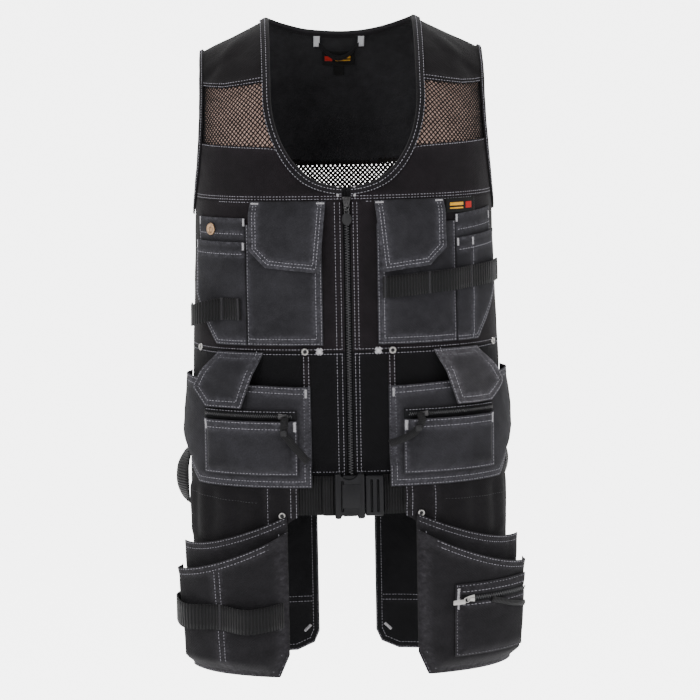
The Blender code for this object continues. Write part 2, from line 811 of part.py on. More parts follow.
def make_neck_binding(finish):
    """From one side of the zip, round the back of the neck, to the other side."""
    front = neck_points(NECK_TURN) + [(NECK_ARC, NECK_TURN / 2), (NECK_ARC, RIDGE - 0.006)]
    front = even_points(front, BINDING_STEP)
    neck_u = arc_at_x(NECK_ARC, True)
    behind = [(-u, back_neck(u)) for u in back_neck_arcs(neck_u, 30)]
    behind = even_points(behind, BINDING_STEP)
    left = [(-s, v, -a, b, back) for s, v, a, b, back in edge_run(front, False, (1, -1))]
    right = edge_run(front, False, (1, -1))[::-1]
    middle = edge_run(behind, True, (0, -1))[1:-1]
    make_binding("neck_binding", left + middle + right, False, finish)


def make_arm_binding(side, tag, finish):
    """A closed loop round one armhole."""
    heights = steps(RIDGE - 0.008, ARM_TURN, 8) + steps(ARM_TURN, ARM_BOTTOM, 16)[1:]
    runs = []
    for back in (False, True):
        points = even_points([(arm_edge(v, back), v) for v in heights], BINDING_STEP)
        run = edge_run(points, back, (-1, -1))
        turn = -side if back else side
        run = [(turn * s, v, turn * a, b, face) for s, v, a, b, face in run]
        runs += run[::-1][1:] if back else run
    make_binding(f"armhole_binding_{tag}", runs, True, finish)


def make_bindings():
    finish = finish_of("binding_tape", BLACK, 0.7)
    make_neck_binding(finish)
    make_arm_binding(-1, "left", finish)
    make_arm_binding(1, "right", finish)


def seat(s, v, lift, back=False):
    """The place of a rigid piece: x along the arc, y up the cloth, z outwards."""
    at = worn(s, v, lift, back)[0]
    normal = Vector(outward(np.array([s]), np.array([v]), np.array([back]))[0])
    across = on_form(np.array([s + PROBE]), np.array([v]), np.array([back]))[0]
    across = Vector(across - on_form(np.array([s]), np.array([v]), np.array([back]))[0])
    across = (across - normal * across.dot(normal)).normalized()
    up = normal.cross(across)
    turned = Matrix((across, up, normal)).transposed().to_4x4()
    return Matrix.Translation(at) @ turned


def block(size, middle, round_off=0.0):
    """A box with rounded edges, about a middle point."""
    bm = bmesh.new()
    bmesh.ops.create_cube(bm, size=1.0)
    bmesh.ops.scale(bm, verts=bm.verts, vec=size)
    bmesh.ops.translate(bm, verts=bm.verts, vec=middle)
    if round_off:
        bmesh.ops.bevel(
            bm, geom=bm.edges, offset=round_off, segments=1, affect="EDGES", profile=0.5
        )
    return bm


def join_to(obj, bm, operation, name):
    """Adds or cuts a closed shape by a Boolean, kept in the collection of cutters."""
    mesh = bpy.data.meshes.new(name)
    bm.to_mesh(mesh)
    bm.free()
    tool = bpy.data.objects.new(name, mesh)
    tool.matrix_world = obj.matrix_world
    tool.hide_render = True
    tool.display_type = "WIRE"
    CUTTERS.objects.link(tool)
    change = obj.modifiers.new(name, "BOOLEAN")
    change.operation = operation
    change.object = tool
    change.solver = "EXACT"


def rigid(name, bm, finish, matrix):
    obj = add_object(name, bm, finish)
    obj.matrix_world = matrix
    return obj


def turned(name, profile, finish, matrix, sides=12):
    """A turned piece from an outer profile, top to bottom, with a Screw."""
    mesh = bpy.data.meshes.new(name)
    edges = [(k, k + 1) for k in range(len(profile) - 1)]
    mesh.from_pydata([(x, 0, z) for x, z in profile], edges, [])
    mesh.materials.append(finish)
    obj = bpy.data.objects.new(name, mesh)
    VEST.objects.link(obj)
    obj.matrix_world = matrix
    screw = obj.modifiers.new("turn", "SCREW")
    screw.steps = screw.render_steps = sides
    screw.use_merge_vertices = True
    screw.merge_threshold = 0.0001
    return obj


def make_front_zip():
    """Tape behind the front edges, raised as the chain between them, and the slider."""
    foot = TAPE_HALF - (TAPE_HALF - CHAIN_HALF) * 0.9
    tape = sheet(
        -TAPE_HALF, TAPE_HALF, HEM + CLOTH, ZIP_TOP, 6, (-foot, -CHAIN_HALF, CHAIN_HALF, foot)
    )
    for vert in tape.verts:
        behind = -LAYER_GAP - TAPE_WALL
        vert.co.z = GAP if abs(vert.co.x) < (CHAIN_HALF + foot) / 2 else behind
    cloth("front_zip", tape, TAPE_WALL, finish_of("front_zip_cloth", BLACK, 0.6))
    base = max(GAP + TAPE_WALL, CLOTH) + GAP
    slider = block(
        (SLIDER_WIDTH, SLIDER_LENGTH, SLIDER_HEIGHT), (0, 0, SLIDER_HEIGHT / 2), 0.0008
    )
    place = seat(0, ZIP_TOP - SLIDER_LENGTH / 2, base)
    obj = rigid("zip_slider", slider, finish_of("slider_metal", STEEL, 0.35, 1.0), place)
    wall = SLIDER_HEIGHT / 2
    pull = block(
        (PULL_WIDTH, PULL_LENGTH, wall),
        (0, -SLIDER_LENGTH / 2 - PULL_LENGTH / 2 + 0.004, SLIDER_HEIGHT - wall / 2 - 0.0003),
        0.0005,
    )
    join_to(obj, pull, "UNION", "zip_pull_shape")


def make_chest_flap(side, tag, finish):
    low = YOKE_SEAM - FLAP_LENGTH
    inner_low = FLAP_INNER + FLAP_SLANT
    flap = sheet(FLAP_INNER, FLAP_OUTER, low, YOKE_SEAM - 0.001, 4)
    trim(flap, (FLAP_INNER, YOKE_SEAM), (inner_low, low))
    corner = low + FLAP_SLANT * (1 - FLAP_CHAMFER / (FLAP_OUTER - inner_low))
    trim(flap, (FLAP_OUTER - FLAP_CHAMFER, corner), (FLAP_OUTER, corner + FLAP_CHAMFER))
    trim(flap, (inner_low, low), (FLAP_OUTER, low + FLAP_SLANT))
    cover = BODY_TOP + POCKET_LIFT + 2 * POCKET_CLOTH + LAYER_GAP
    for vert in flap.verts:
        vert.co.z = BODY_TOP + (cover - BODY_TOP) * rounded((YOKE_SEAM - vert.co.y) / 0.02)
    cloth(f"chest_flap_{tag}", flap, CLOTH, finish, side)


def make_chest_pockets(side, tag, finish):
    """The main pocket, and two stepped tool pockets beside it."""
    foot = WAIST_SEAM + POCKET_FOOT
    top = YOKE_SEAM - POCKET_MOUTH_DROP
    inner = POCKET_INNER
    divider = POCKET_DIVIDER - GAP
    main = sheet(inner, divider, foot, top, 5, (inner + POCKET_SIDE, divider - POCKET_SIDE))
    sewn = (((inner, top), (inner, foot)), ((inner, foot), (divider, foot)))
    sewn += (((divider, foot), (divider, top)),)
    puff(main, sewn, BODY_TOP, lambda s, v: POCKET_LIFT, POCKET_SIDE)
    cloth(f"chest_pocket_{tag}", main, POCKET_CLOTH, finish, side)
    corner_low = (TOOL_OUTER - TOOL_CORNER_ARC, foot)
    corner_high = (TOOL_OUTER, foot + TOOL_CORNER_RISE)
    start = POCKET_DIVIDER + GAP
    layers = (("pen_pocket", TOOL_TOP_BACK, 0.0), ("tool_pocket", TOOL_TOP_FRONT, 1.0))
    for name, high, layer in layers:
        seat_lift = BODY_TOP + layer * (POCKET_CLOTH + LAYER_GAP)
        inset = (1 - layer) * PEN_INSET
        tool = sheet(start, TOOL_OUTER - inset, foot, high, 4)
        trim(tool, (corner_low[0] - inset, corner_low[1]), (corner_high[0] - inset, corner_high[1]))
        sewn = (((start, high), (start, foot)), ((start, foot), corner_low))
        sewn += ((corner_low, corner_high), (corner_high, (TOOL_OUTER, high)))
        puff(tool, sewn, seat_lift, lambda s, v: layer * POCKET_LIFT, POCKET_SIDE)
        cloth(f"{name}_{tag}", tool, POCKET_CLOTH, finish, side)


def strap(name, path, width, wall, finish, side=1, back=False, level=True):
    """A flat strap along (arc, height, lift) points, its width up the cloth or across it."""
    bm, place = grid(len(path) - 1, 1)
    for vert, (i, j) in place.items():
        s, v, lift = path[i]
        off = (j - 0.5) * width
        vert.co = (s, v + off, lift) if level else (s + off, v, lift)
    wrap(bm, side, back)
    bmesh.ops.recalc_face_normals(bm, faces=bm.faces)
    obj = add_object(name, bm, finish)
    thicken(obj, wall, 0.0)
    return obj


def make_tool_loops(finish):
    """Webbing across the tool pockets, sewn down between its loops."""
    base = BODY_TOP + 2 * POCKET_CLOTH + LAYER_GAP + POCKET_LIFT + LAYER_GAP + WEBBING / 2
    path = []
    for s, share in LEFT_WEB_LOOP:
        sag = LEFT_WEB_SAG * rounded((s - LEFT_WEB_LOOP[2][0]) / 0.05)
        path.append((s, LEFT_WEB_MIDDLE - sag, base - GAP + share * LEFT_WEB_LOOP_LIFT))
    strap("tool_loops_left", path, TOOL_WEB_HEIGHT, WEBBING, finish, -1)
    right_start, right_end = FLAP_INNER + FLAP_SLANT + 0.004, TOOL_OUTER - 0.002
    count = 12
    path = []
    for k, s in enumerate(steps(right_start, right_end, count)):
        t = k / count
        hump = math.sin(math.pi * ((t * 3) % 1.0)) ** 2
        rise = -RIGHT_WEB_SLANT * (1 - t)
        path.append((s, RIGHT_WEB_MIDDLE + rise, base + hump * RIGHT_WEB_LOOP_LIFT))
    strap("tool_loops_right", path, TOOL_WEB_HEIGHT, WEBBING, finish, 1)


def make_chest():
    for side, tag in ((-1, "left"), (1, "right")):
        finish = finish_of(f"chest_pocket_cloth_{tag}", CHARCOAL, 0.85)
        make_chest_flap(side, tag, finish)
        make_chest_pockets(side, tag, finish)
    make_tool_loops(finish_of("tool_webbing", WEB_BLACK, 0.7))
    radius = BUTTON_DIAMETER / 2
    profile = [(0, BUTTON_HEIGHT), (radius * 0.55, BUTTON_HEIGHT), (radius * 0.9, BUTTON_HEIGHT * 0.8)]
    profile += [(radius, BUTTON_HEIGHT * 0.35), (radius * 0.92, 0), (0, 0)]
    lift = BODY_TOP + POCKET_CLOTH + GAP
    place = seat(-BUTTON_ARC, BUTTON_DROP, lift)
    turned("button", profile, finish_of("button_bronze", BRONZE, 0.35, 1.0), place, 16)
    label_top = YOKE_SEAM - 0.002
    label = sheet(
        LABEL_ARC - LABEL_WIDTH / 2, LABEL_ARC + LABEL_WIDTH / 2, label_top - LABEL_HEIGHT, label_top, 1
    )
    level_sheet(label, BODY_TOP)
    cloth("front_label", label, LABEL_WALL, finish_of("woven_label", LABEL_GREY, 0.6))


def make_rivets():
    radius = RIVET_DIAMETER / 2
    profile = [(0, RIVET_HEIGHT), (radius * 0.6, RIVET_HEIGHT * 0.95), (radius, RIVET_HEIGHT * 0.4)]
    profile += [(radius, 0), (0, 0)]
    finish = finish_of("rivet_metal", STEEL, 0.35, 1.0)
    for side, tag in ((-1, "left"), (1, "right")):
        for arc, place in zip(RIVET_ARCS, ("inner", "outer")):
            spot = seat(side * arc, WAIST_SEAM, CLOTH + GAP / 2)
            turned(f"rivet_{place}_{tag}", profile, finish, spot, 10)


def hip_rise(v):
    """The hip pocket's swell: little at its mouth, most low down."""
    share = (v - HIP_BOTTOM) / (HIP_TOP_INNER - HIP_BOTTOM)
    swell = math.sin(math.pi * min(max(share, 0), 1))
    return HIP_LIFT * (HIP_MOUTH_SHARE + (HIP_SWELL - HIP_MOUTH_SHARE) * swell)


def make_hip(side, tag):
    """Hip pocket, the zip pocket on it and the flap over both."""
    finish = finish_of(f"hip_pocket_cloth_{tag}", CHARCOAL, 0.85)
    start = HIP_INNER

    def top(s):
        return HIP_TOP_INNER + (HIP_TOP_OUTER - HIP_TOP_INNER) * (s / HIP_OUTER)

    extra = (start + HIP_SIDE / 2, start + HIP_SIDE, HIP_OUTER - HIP_SIDE / 2)
    pocket = sheet(start, HIP_OUTER, HIP_BOTTOM, top, 6, extra)
    low = (HIP_OUTER - HIP_CORNER_ARC, HIP_BOTTOM)
    high = (HIP_OUTER, HIP_BOTTOM + HIP_CORNER_RISE)
    trim(pocket, low, high)
    sewn = [((start, top(start)), (start, HIP_BOTTOM)), ((start, HIP_BOTTOM), low)]
    sewn += [(low, high), (high, (HIP_OUTER, top(HIP_OUTER)))]
    over_tail = TAIL_LIFT + CLOTH + LAYER_GAP - BODY_TOP

    def step(v):
        return BODY_TOP + over_tail * rounded((HIP_STEP_TOP - v) / HIP_STEP_HEIGHT)

    puff(pocket, sewn, step, lambda s, v: hip_rise(v) - (step(v) - BODY_TOP), HIP_SIDE)
    cloth(f"lower_pocket_{tag}", pocket, POCKET_CLOTH, finish, side)
    make_zip_pocket(side, tag, finish)
    make_hip_flap(side, tag, finish)


def make_zip_pocket(side, tag, finish):
    """A bag below a level zip, both on the face of the hip pocket."""
    face = BODY_TOP + HIP_LIFT * HIP_SWELL + POCKET_CLOTH + GAP
    bag = sheet(
        ZIP_BAG_INNER, ZIP_BAG_OUTER, ZIP_BAG_BOTTOM, ZIP_BAG_TOP, 4,
        (ZIP_BAG_INNER + 0.010, ZIP_BAG_OUTER - 0.010),
    )
    top, foot = ZIP_BAG_TOP, ZIP_BAG_BOTTOM
    sewn = (((ZIP_BAG_INNER, top), (ZIP_BAG_INNER, foot)),)
    sewn += (((ZIP_BAG_INNER, foot), (ZIP_BAG_OUTER, foot)),)
    sewn += (((ZIP_BAG_OUTER, foot), (ZIP_BAG_OUTER, top)),)
    puff(bag, sewn, face, lambda s, v: ZIP_BAG_LIFT, ZIP_BAG_SIDE)
    cloth(f"zip_pocket_{tag}", bag, POCKET_CLOTH, finish, side)
    strip_low = ZIP_BAG_TOP + GAP
    strip = sheet(ZIP_BAG_INNER, ZIP_BAG_OUTER, strip_low, strip_low + ZIP_STRIP_HEIGHT, 1)
    level_sheet(strip, face)
    cloth(f"pocket_zip_{tag}", strip, TAPE_WALL, finish_of(f"pocket_zip_{tag}", BLACK, 0.6), side)


def make_hip_flap(side, tag, finish):
    top = WAIST_SEAM - 0.001
    low = top - HIP_FLAP_LENGTH
    flap = sheet(HIP_FLAP_INNER, HIP_FLAP_OUTER, low, top, 5)
    trim(flap, (HIP_FLAP_INNER, top), (HIP_FLAP_INNER + HIP_FLAP_SLANT, low))
    trim(flap, (HIP_FLAP_OUTER - HIP_FLAP_CHAMFER, low), (HIP_FLAP_OUTER, low + HIP_FLAP_CHAMFER))
    trim(flap, (HIP_FLAP_OUTER, top - HIP_FLAP_SHOULDER), (HIP_FLAP_TOP_OUTER, top))
    over = BODY_TOP + HIP_LIFT * HIP_SWELL + 2 * POCKET_CLOTH + 2 * LAYER_GAP + GAP
    for vert in flap.verts:
        vert.co.z = BODY_TOP + (over - BODY_TOP) * rounded((top - vert.co.y) / HIP_FLAP_RAMP)
    cloth(f"hip_flap_{tag}", flap, CLOTH, finish, side)


def make_ribbons():
    """Tape pulls that hang from the pocket sliders."""
    finish = finish_of("ribbon", BLACK, 0.6)
    face = BODY_TOP + HIP_LIFT * HIP_SWELL + 2 * POCKET_CLOTH + 2 * LAYER_GAP + ZIP_BAG_LIFT
    for route, sink, side, tag in RIBBON_ROUTES:
        lift = face + (RIBBON_WALL - LAYER_GAP) / 2 - sink
        ribbon(f"ribbon_{tag}", [(s, v, lift) for s, v in route], finish, side)


def ribbon(name, path, finish, side):
    """A tape along a route, its width square to the route."""
    bm, place = grid(len(path) - 1, 1)
    for vert, (i, j) in place.items():
        before, after = path[max(i - 1, 0)], path[min(i + 1, len(path) - 1)]
        length = math.dist(before[:2], after[:2])
        across = ((before[1] - after[1]) / length, (after[0] - before[0]) / length)
        off = (j - 0.5) * RIBBON_WIDTH
        s, v, lift = path[i]
        vert.co = (s + across[0] * off, v + across[1] * off, lift)
    wrap(bm, side)
    bmesh.ops.recalc_face_normals(bm, faces=bm.faces)
    thicken(add_object(name, bm, finish), RIBBON_WALL, 0.0)


def make_belt():
    """One ring of webbing whose two ends enter the buckle."""
    side = float(quarter_arc(BELT_TOP))
    half = side + float(quarter_arc(BELT_TOP, True))
    lines = [share * HALF_WIDTH for share in FACET_LINES]
    behind = [half - line for line in lines[::-1] if half - line > side + BELT_STEP]
    arcs = [*lines, side, *behind]
    right_end = BUCKLE_MIDDLE + PRONG_LENGTH - MOUTH_DEPTH + GAP
    left_end = BUCKLE_MIDDLE - SOCKET_LENGTH + MOUTH_DEPTH - GAP
    right = [right_end, right_end + BELT_STEP, *arcs, half]
    left = [left_end, left_end - BELT_STEP, *[-arc for arc in arcs]]
    middle = BELT_TOP - BELT_WIDTH / 2
    path = [(s, middle, BODY_TOP + WEBBING / 2) for s in right + left[::-1]]
    strap("belt", path, BELT_WIDTH, WEBBING, finish_of("belt_webbing", WEB_BLACK, 0.7))


def make_buckle():
    """A fastened side-release buckle: the socket, and the prong part seated in it."""
    finish = finish_of("buckle_plastic", PLASTIC, 0.4)
    base = CLOTH + GAP
    middle_v = BELT_TOP - BELT_WIDTH / 2
    place = seat(BUCKLE_MIDDLE, middle_v, base)
    height = BUCKLE_THICKNESS
    socket = block(
        (SOCKET_LENGTH, SOCKET_WIDTH, height), (-SOCKET_LENGTH / 2, 0, height / 2), BUCKLE_ROUND
    )
    obj = rigid("buckle_socket", socket, finish, place)
    clear = GAP
    tongue_height = height * TONGUE_HEIGHT_SHARE
    tongue_width = SOCKET_WIDTH * TONGUE_WIDTH_SHARE
    cavity = block(
        (TONGUE_DEPTH + 2 * clear, tongue_width + 2 * clear, tongue_height + 2 * clear),
        (-TONGUE_DEPTH / 2, 0, height / 2),
    )
    join_to(obj, cavity, "DIFFERENCE", "socket_cavity")
    web_lift = BODY_TOP - base + WEBBING / 2
    mouth_size = (MOUTH_DEPTH * 2, BELT_WIDTH + 2 * clear, WEBBING + 2 * clear)
    mouth = block(mouth_size, (-SOCKET_LENGTH, 0, web_lift))
    join_to(obj, mouth, "DIFFERENCE", "socket_mouth")
    prong_height = height * PRONG_HEIGHT_SHARE
    prong = block(
        (PRONG_LENGTH - clear, PRONG_WIDTH, prong_height),
        (PRONG_LENGTH / 2 + clear / 2, 0, prong_height / 2),
        BUCKLE_ROUND,
    )
    obj = rigid("buckle_prong", prong, finish, place)
    tongue = block(
        (TONGUE_DEPTH + 0.004, tongue_width, tongue_height),
        (-TONGUE_DEPTH / 2 + 0.002, 0, height / 2),
        0.0008,
    )
    join_to(obj, tongue, "UNION", "prong_tongue")
    mouth = block(mouth_size, (PRONG_LENGTH, 0, web_lift))
    join_to(obj, mouth, "DIFFERENCE", "prong_mouth")


def tail_inner(v):
    """The tail's inner edge: a tab over the belt, then narrower below it."""
    below = BELT_TOP - BELT_WIDTH - v
    return TAIL_TAB_INNER + (TAIL_INNER - TAIL_TAB_INNER) * rounded(below / 0.012)


def slanted(start, drop, outer):
    """A mouth that falls from the inner edge towards the side."""
    return lambda s: start - drop * math.sin(0.5 * math.pi * (s - TAIL_INNER) / (outer - TAIL_INNER))


def tail_trims(bm, bottom):
    trim(
        bm,
        (TAIL_INNER, bottom + TAIL_CHAMFER_RISE),
        (TAIL_INNER + TAIL_CHAMFER_ARC, bottom),
    )


def bag_share(v, top):
    """A bag's fullness at a height: full at its mouth, less at its foot."""
    share = min(max((v - TAIL_BOTTOM) / (top - TAIL_BOTTOM), 0), 1)
    return BAG_FOOT_SHARE + (1 - BAG_FOOT_SHARE) * share


def make_bag(name, top, lift, seat_lift, finish, side):
    """A deep pocket layer that stands off the tail and is open at its slanted top."""
    start, end, foot = TAIL_INNER, POUCH_OUTER, TAIL_BOTTOM
    extra = (start + NAIL_SIDE / 3, start + NAIL_SIDE, end - NAIL_SIDE / 3, end - NAIL_SIDE)
    bag = sheet(start, end, foot, top, 6, extra)
    tail_trims(bag, foot)
    cut_high = (start, foot + TAIL_CHAMFER_RISE)
    cut_low = (start + TAIL_CHAMFER_ARC, foot)
    sewn = [((start, top(start)), cut_high), (cut_high, cut_low), (cut_low, (end, foot))]
    sewn += [((end, foot), (end, top(end)))]

    puff(bag, sewn, seat_lift, lambda s, v: lift * bag_share(v, top(s)), NAIL_SIDE)
    cloth(name, bag, POCKET_CLOTH, finish, side)


def make_front_tail(side, tag):
    """The tail cloth, the inner pouch and the nail pocket in front of it."""
    finish = finish_of(f"tail_cloth_{tag}", CHARCOAL, 0.85)
    tail = sheet(tail_inner, TAIL_OUTER, TAIL_BOTTOM, TAIL_TOP, 7)
    tail_trims(tail, TAIL_BOTTOM)
    level_sheet(tail, TAIL_LIFT)
    cloth(f"tail_{tag}", tail, CLOTH, finish, side)
    layer = CLOTH + LAYER_GAP
    pouch_top = slanted(POUCH_TOP_INNER, POUCH_TOP_DROP, POUCH_OUTER)
    nail_top = slanted(NAIL_TOP_INNER, NAIL_TOP_DROP, POUCH_OUTER)
    make_bag(f"tool_pouch_{tag}", pouch_top, POUCH_LIFT, TAIL_LIFT + layer, finish, side)
    make_bag(f"nail_pocket_{tag}", nail_top, NAIL_LIFT, TAIL_LIFT + 2 * layer, finish, side)


def bag_face(s, v):
    """The outer face of the nail pocket's cloth at a pattern point."""
    top = slanted(NAIL_TOP_INNER, NAIL_TOP_DROP, POUCH_OUTER)
    distance = min(s - TAIL_INNER, POUCH_OUTER - s, v - TAIL_BOTTOM)
    swell = NAIL_LIFT * bag_share(v, top(s)) * rounded(distance / NAIL_SIDE)
    return TAIL_LIFT + 2 * (CLOTH + LAYER_GAP) + swell + POCKET_CLOTH


def make_nail_trims():
    """Two webbing loops on the left nail pocket, a zip pocket and ribbon on the right."""
    clear = LAYER_GAP + BAG_CLEARANCE
    middle = NAIL_WEB_TOP - NAIL_WEB_HEIGHT / 2
    path = []
    count = 16
    start, end = TAIL_INNER + 0.004, POUCH_OUTER - 0.006
    for k, s in enumerate(steps(start, end, count)):
        hump = math.sin(math.pi * ((2 * k / count) % 1.0)) ** 2
        face = max(bag_face(s + near, middle) for near in (-NAIL_WEB_NEAR, 0, NAIL_WEB_NEAR))
        sag = NAIL_WEB_SAG * math.sin(math.pi * k / count)
        path.append((s, middle - sag, face + BAG_CLEARANCE + WEBBING / 2 + hump * NAIL_WEB_LIFT))
    strap("nail_loops", path, NAIL_WEB_HEIGHT, WEBBING, finish_of("nail_webbing", WEB_BLACK, 0.7), -1)
    finish = finish_of("nail_zip_cloth", CHARCOAL, 0.85)
    bag = sheet(
        NAIL_ZIP_INNER, NAIL_ZIP_OUTER, NAIL_ZIP_BOTTOM, NAIL_ZIP_TOP, 4,
        (NAIL_ZIP_INNER + 0.010, NAIL_ZIP_OUTER - 0.010),
    )
    corners = (
        (NAIL_ZIP_INNER, NAIL_ZIP_TOP), (NAIL_ZIP_INNER, NAIL_ZIP_BOTTOM),
        (NAIL_ZIP_OUTER, NAIL_ZIP_BOTTOM), (NAIL_ZIP_OUTER, NAIL_ZIP_TOP),
    )
    sewn = list(zip(corners, corners[1:]))
    for vert in bag.verts:
        swell = NAIL_ZIP_LIFT * rounded(edge_distance(vert.co.xy, sewn) / NAIL_ZIP_SIDE)
        vert.co.z = bag_face(vert.co.x, vert.co.y) + clear + swell
    cloth("nail_zip_pocket", bag, POCKET_CLOTH, finish, 1)


def make_back_tails():
    finish = finish_of("back_tail_cloth", BLACK, 0.85)
    bottom = -VEST_LENGTH
    for side, tag in ((1, "left"), (-1, "right")):
        tail = sheet(BACK_TAIL_INNER, BACK_TAIL_OUTER, bottom, BACK_TAIL_TOP, 5)
        trim(
            tail,
            (BACK_TAIL_INNER, bottom + BACK_TAIL_CHAMFER),
            (BACK_TAIL_INNER + BACK_TAIL_CHAMFER, bottom),
        )
        level_sheet(tail, TAIL_LIFT)
        cloth(f"back_tail_{tag}", tail, CLOTH, finish, side, back=True)


def make_small_straps():
    """The hanging loop and label inside the back neck, and the hammer loop at the side."""
    finish = finish_of("small_strap", BLACK, 0.7)
    inside = -LAYER_GAP - STRAP_WALL / 2
    path = []
    for t in even(8):
        s = HANGER_HALF * (2 * t - 1)
        sag = HANGER_SAG * math.sin(math.pi * t)
        path.append((s, HANGER_TOP - sag, inside - HANGER_STAND_OFF * math.sin(math.pi * t)))
    strap("hanger_loop", path, HANGER_WIDTH, STRAP_WALL, finish, back=True)
    half = NECK_LABEL_WIDTH / 2
    low = NECK_LABEL_TOP - NECK_LABEL_HEIGHT
    label = sheet(-half, half, low, NECK_LABEL_TOP, 1)
    level_sheet(label, -LAYER_GAP - LABEL_WALL)
    cloth("neck_label", label, LABEL_WALL, finish_of("neck_label", LABEL_GREY, 0.6), back=True)
    path = []
    for t in even(10):
        sewn = BODY_TOP + (TAIL_LIFT - BODY_TOP) * rounded(3 * t) + STRAP_WALL / 2
        bow = math.sin(math.pi * t) ** 0.7
        path.append((HAMMER_ARC, HAMMER_TOP - HAMMER_LENGTH * t, sewn + HAMMER_LIFT * bow))
    strap("hammer_loop", path, HAMMER_WIDTH, STRAP_WALL, finish, -1, level=False)


clear_scene()
VEST = new_collection("utility_work_vest")
CUTTERS = new_collection("cutters", hidden=True)
for front_side, front_tag in ((-1, "left"), (1, "right")):
    make_front(front_side, front_tag)
    make_hip(front_side, front_tag)
    make_front_tail(front_side, front_tag)
make_back()
make_bindings()
make_front_zip()
make_chest()
make_rivets()
make_ribbons()
make_belt()
make_buckle()
make_nail_trims()
make_back_tails()
make_small_straps()
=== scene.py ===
"""The looks of the utility work vest: cloth, stitching, net, webbing, zips and buckle.

Metres, +Z up, front towards -Y, as in the frame. Each cloth piece is drawn flat, as a
pattern: s is the arc from the middle of the front or back, v the height along the cloth.
It is then laid on the worn form at its own lift, and its stitches follow it.
"""

import math

import bmesh
import bpy
import numpy as np
from mathutils import Matrix, Vector


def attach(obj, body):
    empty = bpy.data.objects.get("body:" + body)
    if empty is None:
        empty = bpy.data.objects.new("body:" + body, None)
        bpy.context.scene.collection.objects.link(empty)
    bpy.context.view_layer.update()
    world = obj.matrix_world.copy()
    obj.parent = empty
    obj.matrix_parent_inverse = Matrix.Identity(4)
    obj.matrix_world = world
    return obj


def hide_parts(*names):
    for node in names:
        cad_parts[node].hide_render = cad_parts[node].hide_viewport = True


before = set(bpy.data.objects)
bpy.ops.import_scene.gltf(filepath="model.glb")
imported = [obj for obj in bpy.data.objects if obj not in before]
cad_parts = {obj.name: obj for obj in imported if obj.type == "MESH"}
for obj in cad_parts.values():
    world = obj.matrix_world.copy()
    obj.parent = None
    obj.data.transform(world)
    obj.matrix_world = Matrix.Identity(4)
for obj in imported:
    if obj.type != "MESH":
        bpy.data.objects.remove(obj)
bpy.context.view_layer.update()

# The worn form, as in the frame
VEST_LENGTH = 0.852
HALF_WIDTH = 0.200
FRONT_DEPTH = 0.139
BACK_DEPTH = 0.128
FRONT_SQUARENESS = 2.5
BACK_SQUARENESS = 2.4
CHEST = -0.200
SHOULDER_TURN = 0.170
RIDGE_Y = 0.004
SHOULDER_SLOPE = 0.48
FOLD_RISE = 0.004
RIDGE = CHEST + SHOULDER_TURN * math.pi / 2

# Columns: drop from chest to tail end, half width, front depth, back depth, all as shares
SECTIONS = (
    (0.000, 0.945, 0.993, 0.969),
    (0.153, 0.955, 1.007, 0.938),
    (0.353, 0.980, 0.978, 0.875),
    (0.491, 0.995, 0.986, 0.922),
    (0.613, 1.000, 0.993, 0.969),
    (1.000, 1.000, 0.993, 1.000),
)
# Columns: 1 front or -1 back, side, arc and drop as shares of half width and length,
# tilt in degrees, then length and breadth as shares of half width, rise as a share
FOLDS = (
    (1, -1, 0.74, 0.010, 35, 0.36, 0.070, 1.0),
    (1, -1, 0.86, 0.040, 52, 0.26, 0.060, -0.7),
    (1, 1, 0.70, 0.015, -38, 0.34, 0.070, 1.0),
    (1, 1, 0.84, 0.045, -55, 0.26, 0.060, -0.7),
    (1, -1, 0.62, 0.225, 12, 0.22, 0.090, 0.7),
    (1, 1, 0.60, 0.225, -14, 0.22, 0.090, 0.7),
    (-1, -1, 0.30, 0.560, 24, 0.42, 0.110, 1.0),
    (-1, 1, 0.34, 0.540, -28, 0.40, 0.110, 1.0),
    (-1, -1, 0.70, 0.480, 60, 0.40, 0.110, -0.8),
    (-1, 1, 0.72, 0.470, -60, 0.40, 0.110, -0.8),
    (-1, -1, 0.55, 0.080, 40, 0.36, 0.100, 0.8),
    (-1, 1, 0.55, 0.080, -40, 0.36, 0.100, 0.8),
)
LEVELS = 60
SHARES = 120
PROBE = 0.0015

# Walls and the clearances between layers
CLOTH = 0.0015
POCKET_CLOTH = 0.0013
WEBBING = 0.0020
LAYER_GAP = 0.0008
BODY_TOP = CLOTH + LAYER_GAP
TAIL_LIFT = BODY_TOP + WEBBING + LAYER_GAP
CELL = 0.0042

# Which way the pattern runs on each side of the front, and the side's name
SIDES = ((-1, "left"), (1, "right"))

# Seams and edges
NECK_ARC = 0.094
NECK_TURN = -0.100
NECK_BOTTOM = -0.207
NECK_SQUARENESS = 2.15
BACK_NECK = -0.008
TIP_X = 0.179
ARM_ARC_INSET = 0.063
ARM_TURN = -0.080
ARM_BOTTOM = -0.238
MESH_TOP_INNER = -0.085
MESH_TOP_OUTER = -0.056
MESH_BOTTOM_INNER = -0.164
MESH_BOTTOM_OUTER = -0.147
YOKE_SEAM = -0.222
WAIST_SEAM = -0.412
HEM = -0.572
HEM_ROW = HEM + 0.007
HEM_ROW_END = 0.246
BACK_MESH_TOP_MIDDLE = -0.194
BACK_MESH_TOP_SIDE = -0.120
BACK_MESH_BOTTOM = -0.320
ZIP_EDGE = 0.0048
ZIP_TOP = -0.2175

# Stitching
STITCH_PITCH = 0.0040
STITCH_LENGTH = 0.0029
STITCH_WIDTH = 0.0008
STITCH_HEIGHT = 0.0007
TACK_PITCH = 0.0011
ROW_NEAR = 0.0018
ROW_FAR = 0.0082
SEAM_WIDTH = 0.0045

# Net
NET_PITCH = 0.0043
NET_STRAND = 0.0009
BACK_NET_STRAND = 0.00205
NET_WALL = 0.0008
NET_SINK = 0.0010


